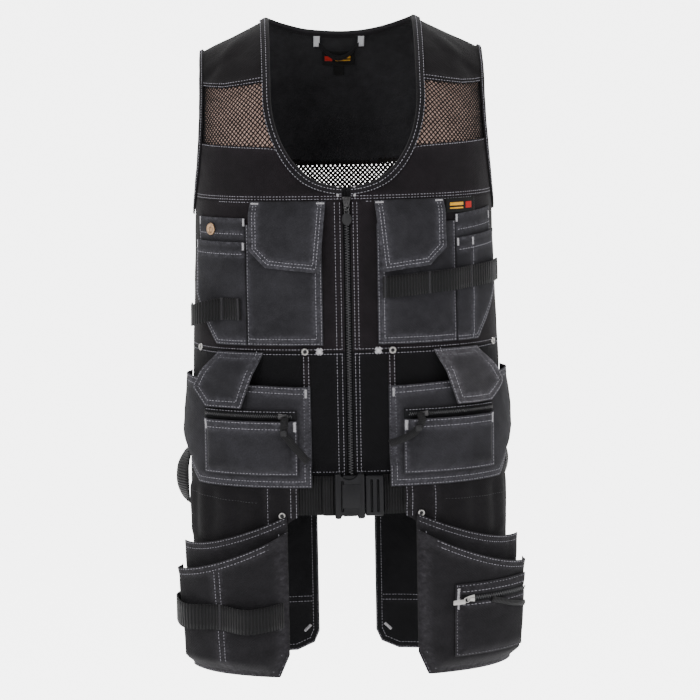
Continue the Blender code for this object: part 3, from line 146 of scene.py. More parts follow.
def section_outline(drop):
    """Points of half a body section, from the middle of the front to that of the back."""
    shares = np.transpose(SECTIONS)
    width, front, back = (eased(drop, shares[0], shares[k]) for k in (1, 2, 3))
    angle = np.linspace(0, math.pi, 481)
    power = np.where(angle <= math.pi / 2, 2 / FRONT_SQUARENESS, 2 / BACK_SQUARENESS)
    depth = np.where(angle <= math.pi / 2, front * FRONT_DEPTH, back * BACK_DEPTH)
    x = width * HALF_WIDTH * np.abs(np.sin(angle)) ** power
    y = -np.sign(np.cos(angle)) * depth * np.abs(np.cos(angle)) ** power
    return x, y


def eased(x, xs, ys):
    """A smooth curve through the points xs, ys, level at both ends."""
    xs, ys = np.asarray(xs, float), np.asarray(ys, float)
    slopes = np.zeros(len(xs))
    slopes[1:-1] = (ys[2:] - ys[:-2]) / (xs[2:] - xs[:-2])
    return cubic_through(np.clip(x, xs[0], xs[-1]), xs, ys, slopes)


def cubic_through(x, xs, ys, slopes):
    """A curve through points with a given slope at each."""
    i = np.clip(np.searchsorted(xs, x) - 1, 0, len(xs) - 2)
    gap = xs[i + 1] - xs[i]
    t = (x - xs[i]) / gap
    ends = (2 * t**3 - 3 * t**2 + 1) * ys[i] + (3 * t**2 - 2 * t**3) * ys[i + 1]
    turns = (t**3 - 2 * t**2 + t) * slopes[i] + (t**3 - t**2) * slopes[i + 1]
    return ends + gap * turns


def form_tables():
    """Body sections at even heights, each read at even shares of its front and back arcs."""
    table_x, table_y, quarters = [], [], []
    for drop in np.linspace(0, 1, LEVELS):
        x, y = section_outline(drop)
        arc = np.concatenate([[0], np.cumsum(np.hypot(np.diff(x), np.diff(y)))])
        side = arc[len(arc) // 2]
        share = np.linspace(0, 1, SHARES)
        at = np.concatenate([share * side, side + share[1:] * (arc[-1] - side)])
        table_x.append(np.interp(at, arc, x))
        table_y.append(np.interp(at, arc, y))
        quarters.append((side, arc[-1] - side))
    return np.array(table_x), np.array(table_y), np.array(quarters)


FORM_X, FORM_Y, QUARTERS = form_tables()


def level_of(v):
    """The place of a cloth height in the table of sections."""
    drop = (CHEST - np.asarray(v, float)) / (CHEST + VEST_LENGTH)
    return np.clip(drop, 0, 1) * (LEVELS - 1)


def quarter_arc(v, back=False):
    """The arc from the middle of the front, or back, to the side at one height."""
    return np.interp(level_of(v), range(LEVELS), QUARTERS[:, 1 if back else 0])


def fold_lift(s, v, back):
    """How far the soft folds lift the cloth."""
    lift = np.zeros_like(s)
    for face, side, arc, drop, tilt, length, breadth, rise in FOLDS:
        turn = math.radians(tilt)
        across = s - side * arc * HALF_WIDTH
        up = v + drop * VEST_LENGTH
        along = (across * math.sin(turn) + up * math.cos(turn)) / (length * HALF_WIDTH)
        off = (across * math.cos(turn) - up * math.sin(turn)) / (breadth * HALF_WIDTH)
        here = np.where(back, face < 0, face > 0)
        lift += here * rise * FOLD_RISE * np.exp(-((2 * along) ** 2) - off**2)
    return lift


def crease(s, v, seed, wave, height):
    """Soft uneven waves of the cloth, about wave long and up to height high."""
    chance = np.random.default_rng(seed)
    total = np.zeros(np.broadcast(s, v).shape)
    for _ in range(6):
        turn, phase = chance.uniform(0, 2 * math.pi, 2)
        length = wave * chance.uniform(0.6, 1.7)
        bend = 0.35 * wave * np.sin((s * math.sin(turn) + v * math.cos(turn)) / wave + phase)
        total += np.sin(2 * math.pi * (s * math.cos(turn) + v * math.sin(turn) + bend) / length)
    return height * total / 4


def on_form(s, v, back):
    """Points of the worn form, without lift, for arcs s and heights v."""
    level = level_of(v)
    low = np.minimum(level.astype(int), LEVELS - 2)
    part = level - low
    front_arc = np.interp(level, range(LEVELS), QUARTERS[:, 0])
    back_arc = np.interp(level, range(LEVELS), QUARTERS[:, 1])
    first, second = np.where(back, back_arc, front_arc), np.where(back, front_arc, back_arc)
    reach = np.abs(s)
    share = np.where(reach < first, reach / first, 1 + (reach - first) / second)
    share = np.where(back, 2 - share, share)
    place = np.clip(share, 0, 2) * (SHARES - 1)
    cell = np.minimum(place.astype(int), 2 * SHARES - 3)
    rest = place - cell

    def read(table):
        upper = table[low, cell] * (1 - rest) + table[low, cell + 1] * rest
        lower = table[low + 1, cell] * (1 - rest) + table[low + 1, cell + 1] * rest
        return upper * (1 - part) + lower * part

    x, y = read(FORM_X), read(FORM_Y)
    turn = np.clip((v - CHEST) / SHOULDER_TURN, 0, None)
    ridge = -SHOULDER_SLOPE * np.maximum(0, x - NECK_ARC)
    z = np.where(turn > 0, CHEST + (ridge - CHEST) * np.sin(turn), v)
    y = np.where(turn > 0, RIDGE_Y + (y - RIDGE_Y) * np.cos(turn), y)
    side = np.where(back, -1, 1) * np.sign(s)
    return np.stack([side * x, y, z], axis=-1)


def outward(s, v, back):
    """The form's outward direction."""
    across = on_form(s + PROBE, v, back) - on_form(s - PROBE, v, back)
    up = on_form(s, v + PROBE, back) - on_form(s, v - PROBE, back)
    normal = np.cross(across, up)
    return normal / np.linalg.norm(normal, axis=-1, keepdims=True)


def worn(s, v, lift, back=False):
    """Pattern points carried onto the form: arcs s, heights v and lifts."""
    s, v, lift = (np.atleast_1d(np.asarray(a, float)) for a in (s, v, lift))
    s, v, lift = np.broadcast_arrays(s, v, lift)
    back = np.broadcast_to(back, s.shape)
    lift = lift + fold_lift(s, v, back) + crease(s, v, 11, 0.055, 0.0005)
    return on_form(s, v, back) + outward(s, v, back) * lift[..., None]


# Flat patterns


def even(count):
    return np.linspace(0, 1, count + 1)


def function_of(value):
    return value if callable(value) else lambda _: value


def lift_of(value):
    """A lift, given as a length or a function of arc and height, as a function."""
    return value if callable(value) else lambda s, v: np.full(np.shape(s), value)


def grid(columns, rows):
    """A flat grid, and the column and row of each of its corners as shares."""
    bm = bmesh.new()
    bmesh.ops.create_grid(bm, x_segments=columns, y_segments=rows, size=0.5)
    flat = np.array([v.co for v in bm.verts]) + 0.5
    return bm, flat[:, 0], flat[:, 1]


def place(bm, s, v, lift=None):
    lift = np.zeros(len(s)) if lift is None else lift
    for vert, co in zip(bm.verts, np.stack([s, v, lift], axis=-1)):
        vert.co = co


def sheet(inner, outer, low, high, cell=CELL):
    """A flat panel between two side edges and two level edges, each a length or a function."""
    inner, outer, low, high = (function_of(value) for value in (inner, outer, low, high))
    middle = (low(0.1) + high(0.1)) / 2
    start, end = float(inner(middle)), float(outer(middle))
    columns = max(2, round((end - start) / cell))
    rows = max(1, round(float(high(start) - low(start)) / cell))
    bm, a, b = grid(columns, rows)
    s = start + (end - start) * a
    v = low(s) + (high(s) - low(s)) * b
    s = inner(v) + (outer(v) - inner(v)) * a
    place(bm, s, v)
    return bm


def line_of(points):
    """A function that gives the points at shares of a line's length."""
    points = np.array(points, float)
    run = np.concatenate([[0], np.cumsum(np.hypot(*np.diff(points, axis=0).T))])
    return lambda t: np.stack([np.interp(t * run[-1], run, points[:, k]) for k in (0, 1)], axis=-1)


def length_of(points):
    return float(np.hypot(*np.diff(np.array(points, float), axis=0).T).sum())


def patch(low, high, inner, outer, cell=CELL):
    """A flat panel between four curved edges, given as lists of points."""
    columns = max(2, round(max(length_of(low), length_of(high)) / cell))
    rows = max(2, round(max(length_of(inner), length_of(outer)) / cell))
    bm, a, b = grid(columns, rows)
    low, high, inner, outer = (line_of(edge) for edge in (low, high, inner, outer))
    a2, b2 = a[:, None], b[:, None]
    level = (1 - b2) * low(a) + b2 * high(a)
    across = (1 - a2) * inner(b) + a2 * outer(b)
    corners = [[inner(0.0), inner(1.0)], [outer(0.0), outer(1.0)]]
    bottom = (1 - a2) * corners[0][0] + a2 * corners[1][0]
    top = (1 - a2) * corners[0][1] + a2 * corners[1][1]
    flat = level + across - (1 - b2) * bottom - b2 * top
    place(bm, flat[:, 0], flat[:, 1])
    return bm


def trim(bm, start, end):
    """Cuts the pattern along a line and drops what lies to the right of it."""
    run = Vector(end) - Vector(start)
    normal = Vector((run.y, -run.x, 0)).normalized()
    parts = [*bm.verts, *bm.edges, *bm.faces]
    plane = Vector((*start, 0))
    bmesh.ops.bisect_plane(
        bm, geom=parts, plane_co=plane, plane_no=normal, dist=1e-6, clear_outer=True
    )
    bmesh.ops.remove_doubles(bm, verts=bm.verts, dist=3e-4)


def soft(share):
    """Rises from 0 to 1 with a soft start and end."""
    t = np.clip(share, 0.0, 1.0)
    return t * t * (3 - 2 * t)


def distance_to(s, v, line):
    """The distance from pattern points to a line of points."""
    best = np.full(np.shape(s), np.inf)
    for start, end in zip(line, line[1:]):
        run = np.subtract(end, start)
        t = ((s - start[0]) * run[0] + (v - start[1]) * run[1]) / max(run @ run, 1e-12)
        t = np.clip(t, 0, 1)
        away = np.hypot(s - start[0] - t * run[0], v - start[1] - t * run[1])
        best = np.minimum(best, away)
    return best


def offset(points, amount):
    """A line moved to its left by an amount, mitred at its corners."""
    points = np.array(points, float)
    runs = np.diff(points, axis=0)
    runs /= np.linalg.norm(runs, axis=1, keepdims=True)
    left = np.stack([-runs[:, 1], runs[:, 0]], axis=1)
    first, last = np.vstack([left[:1], left]), np.vstack([left, left[-1:]])
    middle = first + last
    middle /= np.maximum((middle * first).sum(axis=1, keepdims=True), 0.3)
    return points + middle * amount


def puffed(seat_lift, rise, sewn, reach):
    """The lift of a layer that is sewn down along lines and stands off between them."""
    seat_lift = lift_of(seat_lift)

    def lift(s, v):
        away = np.min([distance_to(s, v, line) for line in sewn], axis=0)
        return seat_lift(s, v) + rise(s, v) * soft(away / reach)

    return lift


# Finishes

WEAVE = 0.0016


def add_node(tree, kind, inputs=None, **settings):
    made = tree.nodes.new(kind)
    for name, value in settings.items():
        setattr(made, name, value)
    for name, value in (inputs or {}).items():
        if isinstance(value, bpy.types.NodeSocket):
            tree.links.new(value, made.inputs[name])
        else:
            made.inputs[name].default_value = value
    return made


def shader_of(name, colour, roughness, metallic=0.0, sheen=0.0, gloss=0.5):
    finish = bpy.data.materials.new(name)
    finish.use_nodes = True
    shader = finish.node_tree.nodes["Principled BSDF"]
    shader.inputs["Base Color"].default_value = (*colour, 1.0)
    shader.inputs["Roughness"].default_value = roughness
    shader.inputs["Metallic"].default_value = metallic
    shader.inputs["Sheen Weight"].default_value = sheen
    shader.inputs["Sheen Roughness"].default_value = 0.5
    shader.inputs["Specular IOR Level"].default_value = gloss
    return finish, finish.node_tree, shader


def math_node(tree, operation, first, second=0.0, third=0.0):
    return add_node(
        tree, "ShaderNodeMath", {0: first, 1: second, 2: third}, operation=operation
    ).outputs[0]


def noise(tree, at, scale, detail=2.0, roughness=0.5):
    inputs = {"Vector": at, "Scale": scale, "Detail": detail, "Roughness": roughness}
    return add_node(tree, "ShaderNodeTexNoise", inputs).outputs["Fac"]


def surface_from(tree, shader, colour, tone, height, strength, distance):
    """Gives a shader a colour times a varying tone, and a bump from a height."""
    tint = add_node(tree, "ShaderNodeVectorMath", {0: colour, 1: tone}, operation="MULTIPLY")
    tree.links.new(tint.outputs["Vector"], shader.inputs["Base Color"])
    inputs = {"Strength": strength, "Distance": distance, "Height": height}
    bump = add_node(tree, "ShaderNodeBump", inputs)
    tree.links.new(bump.outputs["Normal"], shader.inputs["Normal"])


def bands(tree, at, spacing, distortion, direction):
    """Even dark and light bands of a given spacing."""
    inputs = {"Vector": at, "Scale": 0.314 / spacing, "Distortion": distortion, "Detail": 1.0}
    return add_node(tree, "ShaderNodeTexWave", inputs, bands_direction=direction).outputs["Fac"]


def pattern_uv(tree):
    return add_node(tree, "ShaderNodeUVMap", uv_map="pattern").outputs["UV"]


def woven_finish(name, colour, mottle, seam_wear_and_highlight):
    """Close-woven cloth: a twill, uneven dye, seams lighter by rubbed wear and by a painted highlight
    on their raised edges, and puckers beside them.
    """
    finish, tree, shader = shader_of(name, colour, 0.85, sheen=0.030, gloss=0.08)
    at = pattern_uv(tree)
    seam = add_node(tree, "ShaderNodeAttribute", attribute_name="seam").outputs["Fac"]
    stretched = {"Vector": at, "Scale": (1.0, 0.18, 1.0)}
    streak = add_node(tree, "ShaderNodeMapping", stretched).outputs["Vector"]
    slub = noise(tree, streak, 900.0, 2.0, 0.6)
    twill = bands(tree, at, WEAVE, 1.2, "DIAGONAL")
    tone = math_node(tree, "MULTIPLY_ADD", noise(tree, at, 16.0, 4.0, 0.6), 1.3, -0.10)
    tone = math_node(tree, "MULTIPLY_ADD", noise(tree, at, 75.0, 4.0, 0.65), 0.9, tone)
    fine = noise(tree, at, 620.0, 3.0, 0.7)
    grain = math_node(tree, "MULTIPLY_ADD", fine, 2 * mottle, 1 - mottle)
    tone = math_node(tree, "MULTIPLY", tone, grain)
    # Lighter in patches near the seams: partly rubbed wear, partly a painted highlight on the raised
    # seam edges
    patchy = math_node(tree, "POWER", noise(tree, at, 190.0, 3.0, 0.75), 3.0)
    rub_and_highlight = math_node(tree, "MULTIPLY", seam, patchy)
    tone = math_node(tree, "MULTIPLY_ADD", rub_and_highlight, seam_wear_and_highlight * 9, tone)
    pucker = math_node(tree, "MULTIPLY", seam, noise(tree, at, 130.0, 1.0, 0.5))
    height = math_node(tree, "MULTIPLY_ADD", twill, 0.25, math_node(tree, "MULTIPLY", slub, 0.35))
    height = math_node(tree, "MULTIPLY_ADD", pucker, 2.2, height)
    height = math_node(tree, "MULTIPLY_ADD", noise(tree, at, 45.0, 3.0, 0.55), 1.6, height)
    surface_from(tree, shader, colour, tone, height, 0.75, 0.0010)
    return finish


def ribbed_finish(name, colour, rib):
    """Webbing: ribs across the strap, of a given spacing, on its own UV map."""
    finish, tree, shader = shader_of(name, colour, 0.6, sheen=0.02, gloss=0.14)
    at = pattern_uv(tree)
    ribs = bands(tree, at, rib, 0.6, "X")
    fine = noise(tree, at, 700.0, 2.0, 0.6)
    tone = math_node(tree, "MULTIPLY_ADD", ribs, 1.3, 0.15)
    tone = math_node(tree, "MULTIPLY_ADD", fine, 0.5, tone)
    height = math_node(tree, "MULTIPLY_ADD", fine, 0.3, ribs)
    surface_from(tree, shader, colour, tone, height, 1.0, rib * 0.35)
    return finish


def solid_finish(name, colour, roughness, metallic=0.0, grain=300.0, depth=0.00008, gloss=0.5):
    """Plastic, metal or thread: a fine grain and an uneven gloss."""
    finish, tree, shader = shader_of(name, colour, roughness, metallic, gloss=gloss)
    at = add_node(tree, "ShaderNodeTexCoord").outputs["Object"]
    fine = noise(tree, at, grain, 3.0, 0.6)
    broad = noise(tree, at, 60.0, 3.0, 0.6)
    rough = math_node(tree, "MULTIPLY_ADD", broad, 0.25, roughness - 0.12)
    tree.links.new(rough, shader.inputs["Roughness"])
    tone = math_node(tree, "MULTIPLY_ADD", broad, 0.4, 0.8)
    surface_from(tree, shader, colour, tone, fine, 0.4, depth)
    return finish


BODY = woven_finish("body_cloth", (0.0054, 0.0043, 0.0052), mottle=0.50, seam_wear_and_highlight=0.35)
# Painted shade: a darker copy of the body cloth for the shoulders, so their up-turned tops, lit from
# above, look as dark as the rest
SHOULDER_PAINTED_SHADE = woven_finish("shoulder_cloth", (0.0027, 0.0022, 0.0026), mottle=0.50, seam_wear_and_highlight=0.35)
# Painted shade: a darker copy of the body cloth for the waist panels, which lie in the shade between
# the pockets
WAIST_PAINTED_SHADE = woven_finish("waist_cloth", (0.0022, 0.0021, 0.0026), mottle=0.50, seam_wear_and_highlight=0.35)
# Painted light: a lighter copy of the body cloth on the inner faces of the body panels, lifting the
# shade inside the vest
INNER_FACE_PAINTED_LIGHT = woven_finish("lining_cloth", (0.0140, 0.0138, 0.0152), mottle=0.40, seam_wear_and_highlight=0.25)
BACK_TAIL = woven_finish("back_tail_cloth", (0.0040, 0.0040, 0.0046), mottle=0.40, seam_wear_and_highlight=0.25)
POCKET = woven_finish("pocket_cloth", (0.0138, 0.0134, 0.0156), mottle=0.70, seam_wear_and_highlight=0.80)
WORN_POCKET = woven_finish("worn_pocket_cloth", (0.0225, 0.0215, 0.0240), mottle=0.70, seam_wear_and_highlight=0.80)
TAIL = woven_finish("tail_cloth", (0.0080, 0.0075, 0.0086), mottle=0.70, seam_wear_and_highlight=0.80)
TAIL_TOP_CLOTH = woven_finish("tail_top_cloth", (0.0052, 0.0047, 0.0054), mottle=0.70, seam_wear_and_highlight=0.60)
BINDING = woven_finish("binding_tape", (0.0058, 0.0053, 0.0062), mottle=0.40, seam_wear_and_highlight=0.15)
ZIP_TAPE = woven_finish("zip_tape", (0.0045, 0.0045, 0.0052), mottle=0.15, seam_wear_and_highlight=0.0)
NET = woven_finish("net_strand", (0.0078, 0.0065, 0.0065), mottle=0.2, seam_wear_and_highlight=0.0)
NET_LINING = woven_finish("net_lining", (0.400, 0.270, 0.225), mottle=0.45, seam_wear_and_highlight=0.0)
WEB = ribbed_finish("webbing", (0.0028, 0.0027, 0.0031), 0.0036)
# Painted shade: a darker copy of the webbing for the hammer loop and the side strap's end, whose
# faces turn up and out into the light
SIDE_STRAP_PAINTED_SHADE = ribbed_finish("side_strap_painted_shade", (0.0014, 0.0014, 0.0016), 0.0036)
RIBBON = ribbed_finish("ribbon", (0.0050, 0.0048, 0.0054), 0.0018)
LABEL = woven_finish("label_cloth", (0.0060, 0.0060, 0.0060), mottle=0.2, seam_wear_and_highlight=0.0)
THREAD = solid_finish("thread", (0.185, 0.180, 0.203), 0.75, grain=1800.0, depth=0.0001, gloss=0.3)
WHITE_THREAD = solid_finish("white_thread", (0.42, 0.41, 0.43), 0.75, grain=1800.0, gloss=0.3)
DARK_THREAD = solid_finish("dark_thread", (0.022, 0.021, 0.024), 0.75, grain=1800.0, gloss=0.3)
PLASTIC = solid_finish("buckle_plastic", (0.0040, 0.0039, 0.0048), 0.40, grain=900.0, gloss=0.16)
TEETH = solid_finish("zip_teeth", (0.0130, 0.0130, 0.0147), 0.26, grain=900.0)
NICKEL = solid_finish("dark_nickel", (0.048, 0.047, 0.048), 0.33, 1.0)
STEEL = solid_finish("plated_steel", (0.33, 0.32, 0.31), 0.30, 1.0)
BRONZE = solid_finish("bronze", (0.34, 0.22, 0.13), 0.42, 1.0)
RUBBER = solid_finish("rubber", (0.0062, 0.0060, 0.0070), 0.55, grain=500.0, gloss=0.25)
SILVER_TAPE = solid_finish("reflective_tape", (0.42, 0.42, 0.44), 0.5, grain=1500.0)


# Pieces


def mesh_from(name, bm):
    """A mesh made from a bmesh, which is then freed."""
    mesh = bpy.data.meshes.new(name)
    bm.to_mesh(mesh)
    bm.free()
    return mesh


def linked(name, data):
    obj = bpy.data.objects.new(name, data)
    bpy.context.scene.collection.objects.link(obj)
    return obj


def finish_piece(name, mesh, nodes=()):
    """A piece of the vest: it rides on the body and may take the place of nodes."""
    obj = linked(name, mesh)
    if nodes:
        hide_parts(*nodes)
    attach(obj, "root")
    return obj


def mesh_object(name, bm, finish, nodes=(), smooth=40):
    mesh = mesh_from(name, bm)
    mesh.shade_smooth()
    mesh.set_sharp_from_angle(angle=math.radians(smooth))
    mesh.materials.append(finish)
    return finish_piece(name, mesh, nodes)


def thicken(obj, wall, offset=1.0):
    solid = obj.modifiers.new("wall", "SOLIDIFY")
    solid.thickness = wall
    solid.offset = offset


def pattern_data(mesh, flat, seams):
    """Keeps the flat pattern as UV, and how near each point is to a seam."""
    corner = np.empty(len(mesh.loops), np.int32)
    mesh.loops.foreach_get("vertex_index", corner)
    layer = mesh.uv_layers.new(name="pattern")
    layer.data.foreach_set("uv", flat[corner, :2].astype(np.float32).ravel())
    near = np.zeros(len(flat))
    for line in seams:
        away = distance_to(flat[:, 0], flat[:, 1], line)
        near = np.maximum(near, np.exp(-((away / SEAM_WIDTH) ** 2)))
    # The seam mark lightens the cloth near seams, partly as wear and partly as painted highlight, and
    # puckers it
    mark = mesh.attributes.new("seam", "FLOAT", "POINT")
    mark.data.foreach_set("value", near.astype(np.float32))


def cloth(
    node, bm, lift, finish, slot, side=1, back=False, wall=CLOTH, seams=(), rows=(), tacks=(),
    name=None, inner=None,
):
    """Lays a flat pattern on the form as a walled piece, and sews its rows of stitches."""
    lift = lift_of(lift)
    name = name or f"{node}_cloth"
    mesh = mesh_from(name, bm)
    flat = np.empty(len(mesh.vertices) * 3, np.float32)
    mesh.vertices.foreach_get("co", flat)
    flat = flat.reshape(-1, 3).astype(float)
    pattern_data(mesh, flat, [*seams, *rows])
    co = worn(side * flat[:, 0], flat[:, 1], lift(flat[:, 0], flat[:, 1]), back)
    mesh.vertices.foreach_set("co", co.astype(np.float32).ravel())
    if side < 0:
        mesh.flip_normals()
    mesh.shade_smooth()
    for face_finish in (finish, inner) if inner else (finish,):
        mesh.materials.append(face_finish)
    mesh.update()
    obj = finish_piece(name, mesh, [node] if node else ())
    thicken(obj, wall)
    if inner:
        obj.modifiers["wall"].material_offset = 1
    sew(name.replace("_cloth", ""), rows, tacks, lambda s, v: lift(s, v) + wall, side, back)


def body_panel(name, bm, finish, side=1, back=False, rows=(), tacks=()):
    # The inner faces take the lighter cloth of painted light
    cloth(name, bm, 0.0, finish, "body_cloth", side, back, rows=rows, tacks=tacks, inner=INNER_FACE_PAINTED_LIGHT)


def pocket_panel(name, bm, lift, side, **sewn):
    cloth(name, bm, lift, POCKET, "pocket_cloth", side, wall=POCKET_CLOTH, **sewn)


def tail_bag(name, bm, lift, side, **sewn):
    cloth(name, bm, lift, TAIL, "tail_cloth", side, wall=POCKET_CLOTH, **sewn)


def level_rows(start, end, *heights):
    """Level rows of stitches between two arcs."""
    return [[(start, v), (end, v)] for v in heights]


def upright_rows(top, foot, *arcs):
    """Upright rows of stitches between two heights."""
    return [[(s, top), (s, foot)] for s in arcs]


def upright_tacks(arcs, top, foot, width):
    return [((s, top), (s, foot), width) for s in arcs]


def stitch_spots(points):
    """Middle points of even stitches along a line, and the points just before and after."""
    length = length_of(points)
    count = max(1, round(length / STITCH_PITCH))
    chance = np.random.default_rng(count)
    share = (np.arange(count) + 0.5 + chance.uniform(-0.10, 0.10, count)) / count
    half = 0.5 * STITCH_LENGTH * chance.uniform(0.72, 1.08, count) / length
    line = line_of(points)
    return line(share), line(np.clip(share - half, 0, 1)), line(np.clip(share + half, 0, 1))


def tack_rows(tack):
    """A bar tack: close short stitches square to a line."""
    start, end, width = np.array(tack[0], float), np.array(tack[1], float), tack[2]
    run = (end - start) / np.linalg.norm(end - start)
    across = np.array([-run[1], run[0]]) * width / 2
    count = max(3, round(np.linalg.norm(end - start) / TACK_PITCH))
    middles = start + (end - start) * even(count)[:, None]
    return middles, middles - across, middles + across


def stitch_shape():
    """One stitch: a short bar with pinched ends, one unit long, wide and high."""
    bm = bmesh.new()
    bmesh.ops.create_cone(
        bm, cap_ends=True, segments=6, radius1=0.5, radius2=0.5, depth=1.0,
        matrix=Matrix.Rotation(math.pi / 2, 4, "Y"),
    )
    bmesh.ops.subdivide_edges(
        bm, edges=[e for e in bm.edges if abs(e.verts[0].co.x - e.verts[1].co.x) > 0.5], cuts=2
    )
    for vert in bm.verts:
        if abs(vert.co.x) > 0.4:
            vert.co.y *= 0.45
            vert.co.z *= 0.3
    return mesh_from("stitch", bm)


STITCH = stitch_shape()


def spread(name, shape, middle, axes, finish, smooth=False):
    """One piece of many small shapes, each at its middle point with its own three axes."""
    bm = bmesh.new()
    for _ in middle:
        bm.from_mesh(shape)
    mesh = mesh_from(name, bm)
    co = np.empty(len(shape.vertices) * 3, np.float32)
    shape.vertices.foreach_get("co", co)
    co = co.reshape(1, -1, 3)
    whole = middle[:, None] + sum(co[..., k : k + 1] * axes[k][:, None] for k in range(3))
    mesh.vertices.foreach_set("co", whole.astype(np.float32).ravel())
    if smooth:
        mesh.shade_smooth()
    mesh.materials.append(finish)
    mesh.update()
    finish_piece(name, mesh)


def sew(name, rows, tacks, surface, side, back, thread=THREAD):
    """Real stitches along rows, and bar tacks, laid on a surface of the pattern."""
    tack_thread = WHITE_THREAD if thread is THREAD else thread
    groups = (
        ("stitches", [stitch_spots(row) for row in rows], thread),
        ("bar_tacks", [tack_rows(tack) for tack in tacks], tack_thread),
    )
    for kind, spots, yarn in groups:
        if spots:
            lines = [np.concatenate([spot[k] for spot in spots]) for k in range(3)]
            lay_stitches(f"{name}_{kind}", lines, lift_of(surface), side, back, yarn)


def lay_stitches(name, lines, surface, side, back, finish):
    """Stitches on a surface, from the lines of their middles, starts and ends."""

    def at(points, rise=0.0):
        s, v = points[:, 0], points[:, 1]
        return worn(side * s, v, surface(s, v) + rise, back)

    here, first, last = (at(points) for points in lines)
    along = last - first
    run = along / np.linalg.norm(along, axis=1, keepdims=True)
    up = at(lines[0], 0.001) - here
    up -= run * (up * run).sum(axis=1, keepdims=True)
    up /= np.linalg.norm(up, axis=1, keepdims=True)
    axes = (along, np.cross(up, run) * STITCH_WIDTH, up * STITCH_HEIGHT)
    spread(name, STITCH, here, axes, finish, smooth=True)


def seat(s, v, lift, back=False):
    """The place of a rigid piece: x along the arc, y up the cloth, z outwards."""
    at = worn(s, v, lift, back)[0]
    one = np.array([float(s)]), np.array([float(v)]), np.array([back])
    normal = Vector(outward(*one)[0])
    across = Vector(on_form(one[0] + PROBE, one[1], one[2])[0] - on_form(*one)[0])
    across = (across - normal * across.dot(normal)).normalized()
    up = normal.cross(across)
    turned = Matrix((across, up, normal)).transposed().to_4x4()
    return Matrix.Translation(at) @ turned


# Edges of the body panels


def neck_edge(v):
    """The neckline's arc at a height of the front."""
    drop = np.clip((NECK_TURN - v) / (NECK_TURN - NECK_BOTTOM), 0, 1)
    return NECK_ARC * (1 - drop**NECK_SQUARENESS) ** (1 / NECK_SQUARENESS)


def arc_at_x(x, back):
    """The arc of the ridge point at a distance x from the middle."""
    row = FORM_X[0, ::-1] if back else FORM_X[0]
    quarter = QUARTERS[0, 1 if back else 0]
    return float(np.interp(x, row[:SHARES], np.linspace(0, quarter, SHARES)))


def arm_edge(v, back=False):
    """The armhole's arc at a height, on the front or the back."""
    side = float(quarter_arc(CHEST, back))
    turn = side - ARM_ARC_INSET
    rise = np.clip((v - ARM_TURN) / (RIDGE - ARM_TURN), 0, 1) ** 2
    drop = np.clip((ARM_TURN - v) / (ARM_TURN - ARM_BOTTOM), 0, 1)
    upper = turn + (arc_at_x(TIP_X, back) - turn) * rise
    return np.where(v >= ARM_TURN, upper, side - ARM_ARC_INSET * np.sqrt(1 - drop**2))


def arm_height(s, back=False):
    """The height of the armhole's lower edge at an arc."""
    inset = (float(quarter_arc(CHEST, back)) - s) / ARM_ARC_INSET
    return ARM_TURN - (ARM_TURN - ARM_BOTTOM) * np.sqrt(np.maximum(0, 1 - inset**2))


def side_edge(back):
    return lambda v: quarter_arc(v, back)


def edge_points(edge, low, high):
    """Points of an edge given as an arc for each height."""
    heights = np.linspace(low, high, 12)
    return np.stack([edge(heights), heights], axis=-1)


def back_neck(u):
    """The height of the back neckline at an arc from the middle of the back."""
    share = np.minimum(np.abs(u) / arc_at_x(NECK_ARC, True), 1)
    return RIDGE - (RIDGE - BACK_NECK) * np.sqrt(1 - share**2)


def back_net_top(u):
    """The height of the curved seam between the back yoke and the net."""
    reach = float(arm_edge(BACK_MESH_TOP_SIDE, True))
    return BACK_MESH_TOP_MIDDLE + (BACK_MESH_TOP_SIDE - BACK_MESH_TOP_MIDDLE) * (u / reach) ** 4


def neck_line(top):
    """The front neckline from the zip up to a height."""
    heights = NECK_BOTTOM + (top - NECK_BOTTOM) * np.linspace(0, 1, 40) ** 2
    points = np.stack([neck_edge(heights), heights], axis=-1)
    points[0] = (ZIP_EDGE, NECK_BOTTOM)
    return points


def rows_beside(line, *amounts):
    return [offset(line, amount) for amount in amounts]


def make_shoulder(side, tag):
    net_edge = [(NECK_ARC, MESH_TOP_INNER), (0.130, MESH_TOP_INNER + 0.006)]
    net_edge += [(0.160, MESH_TOP_INNER + 0.012), (float(arm_edge(MESH_TOP_OUTER)), MESH_TOP_OUTER)]
    arm = edge_points(arm_edge, MESH_TOP_OUTER, RIDGE)
    neck = [(NECK_ARC, MESH_TOP_INNER), (arc_at_x(NECK_ARC, False), RIDGE)]
    ridge = [neck[-1], tuple(arm[-1])]
    panel = patch(net_edge, ridge, neck, arm)
    rows = rows_beside(net_edge, ROW_NEAR, ROW_NEAR + 0.0048)
    # The shoulders take the darker cloth of painted shade
    body_panel(f"shoulder_{tag}", panel, SHOULDER_PAINTED_SHADE, side, rows=rows)


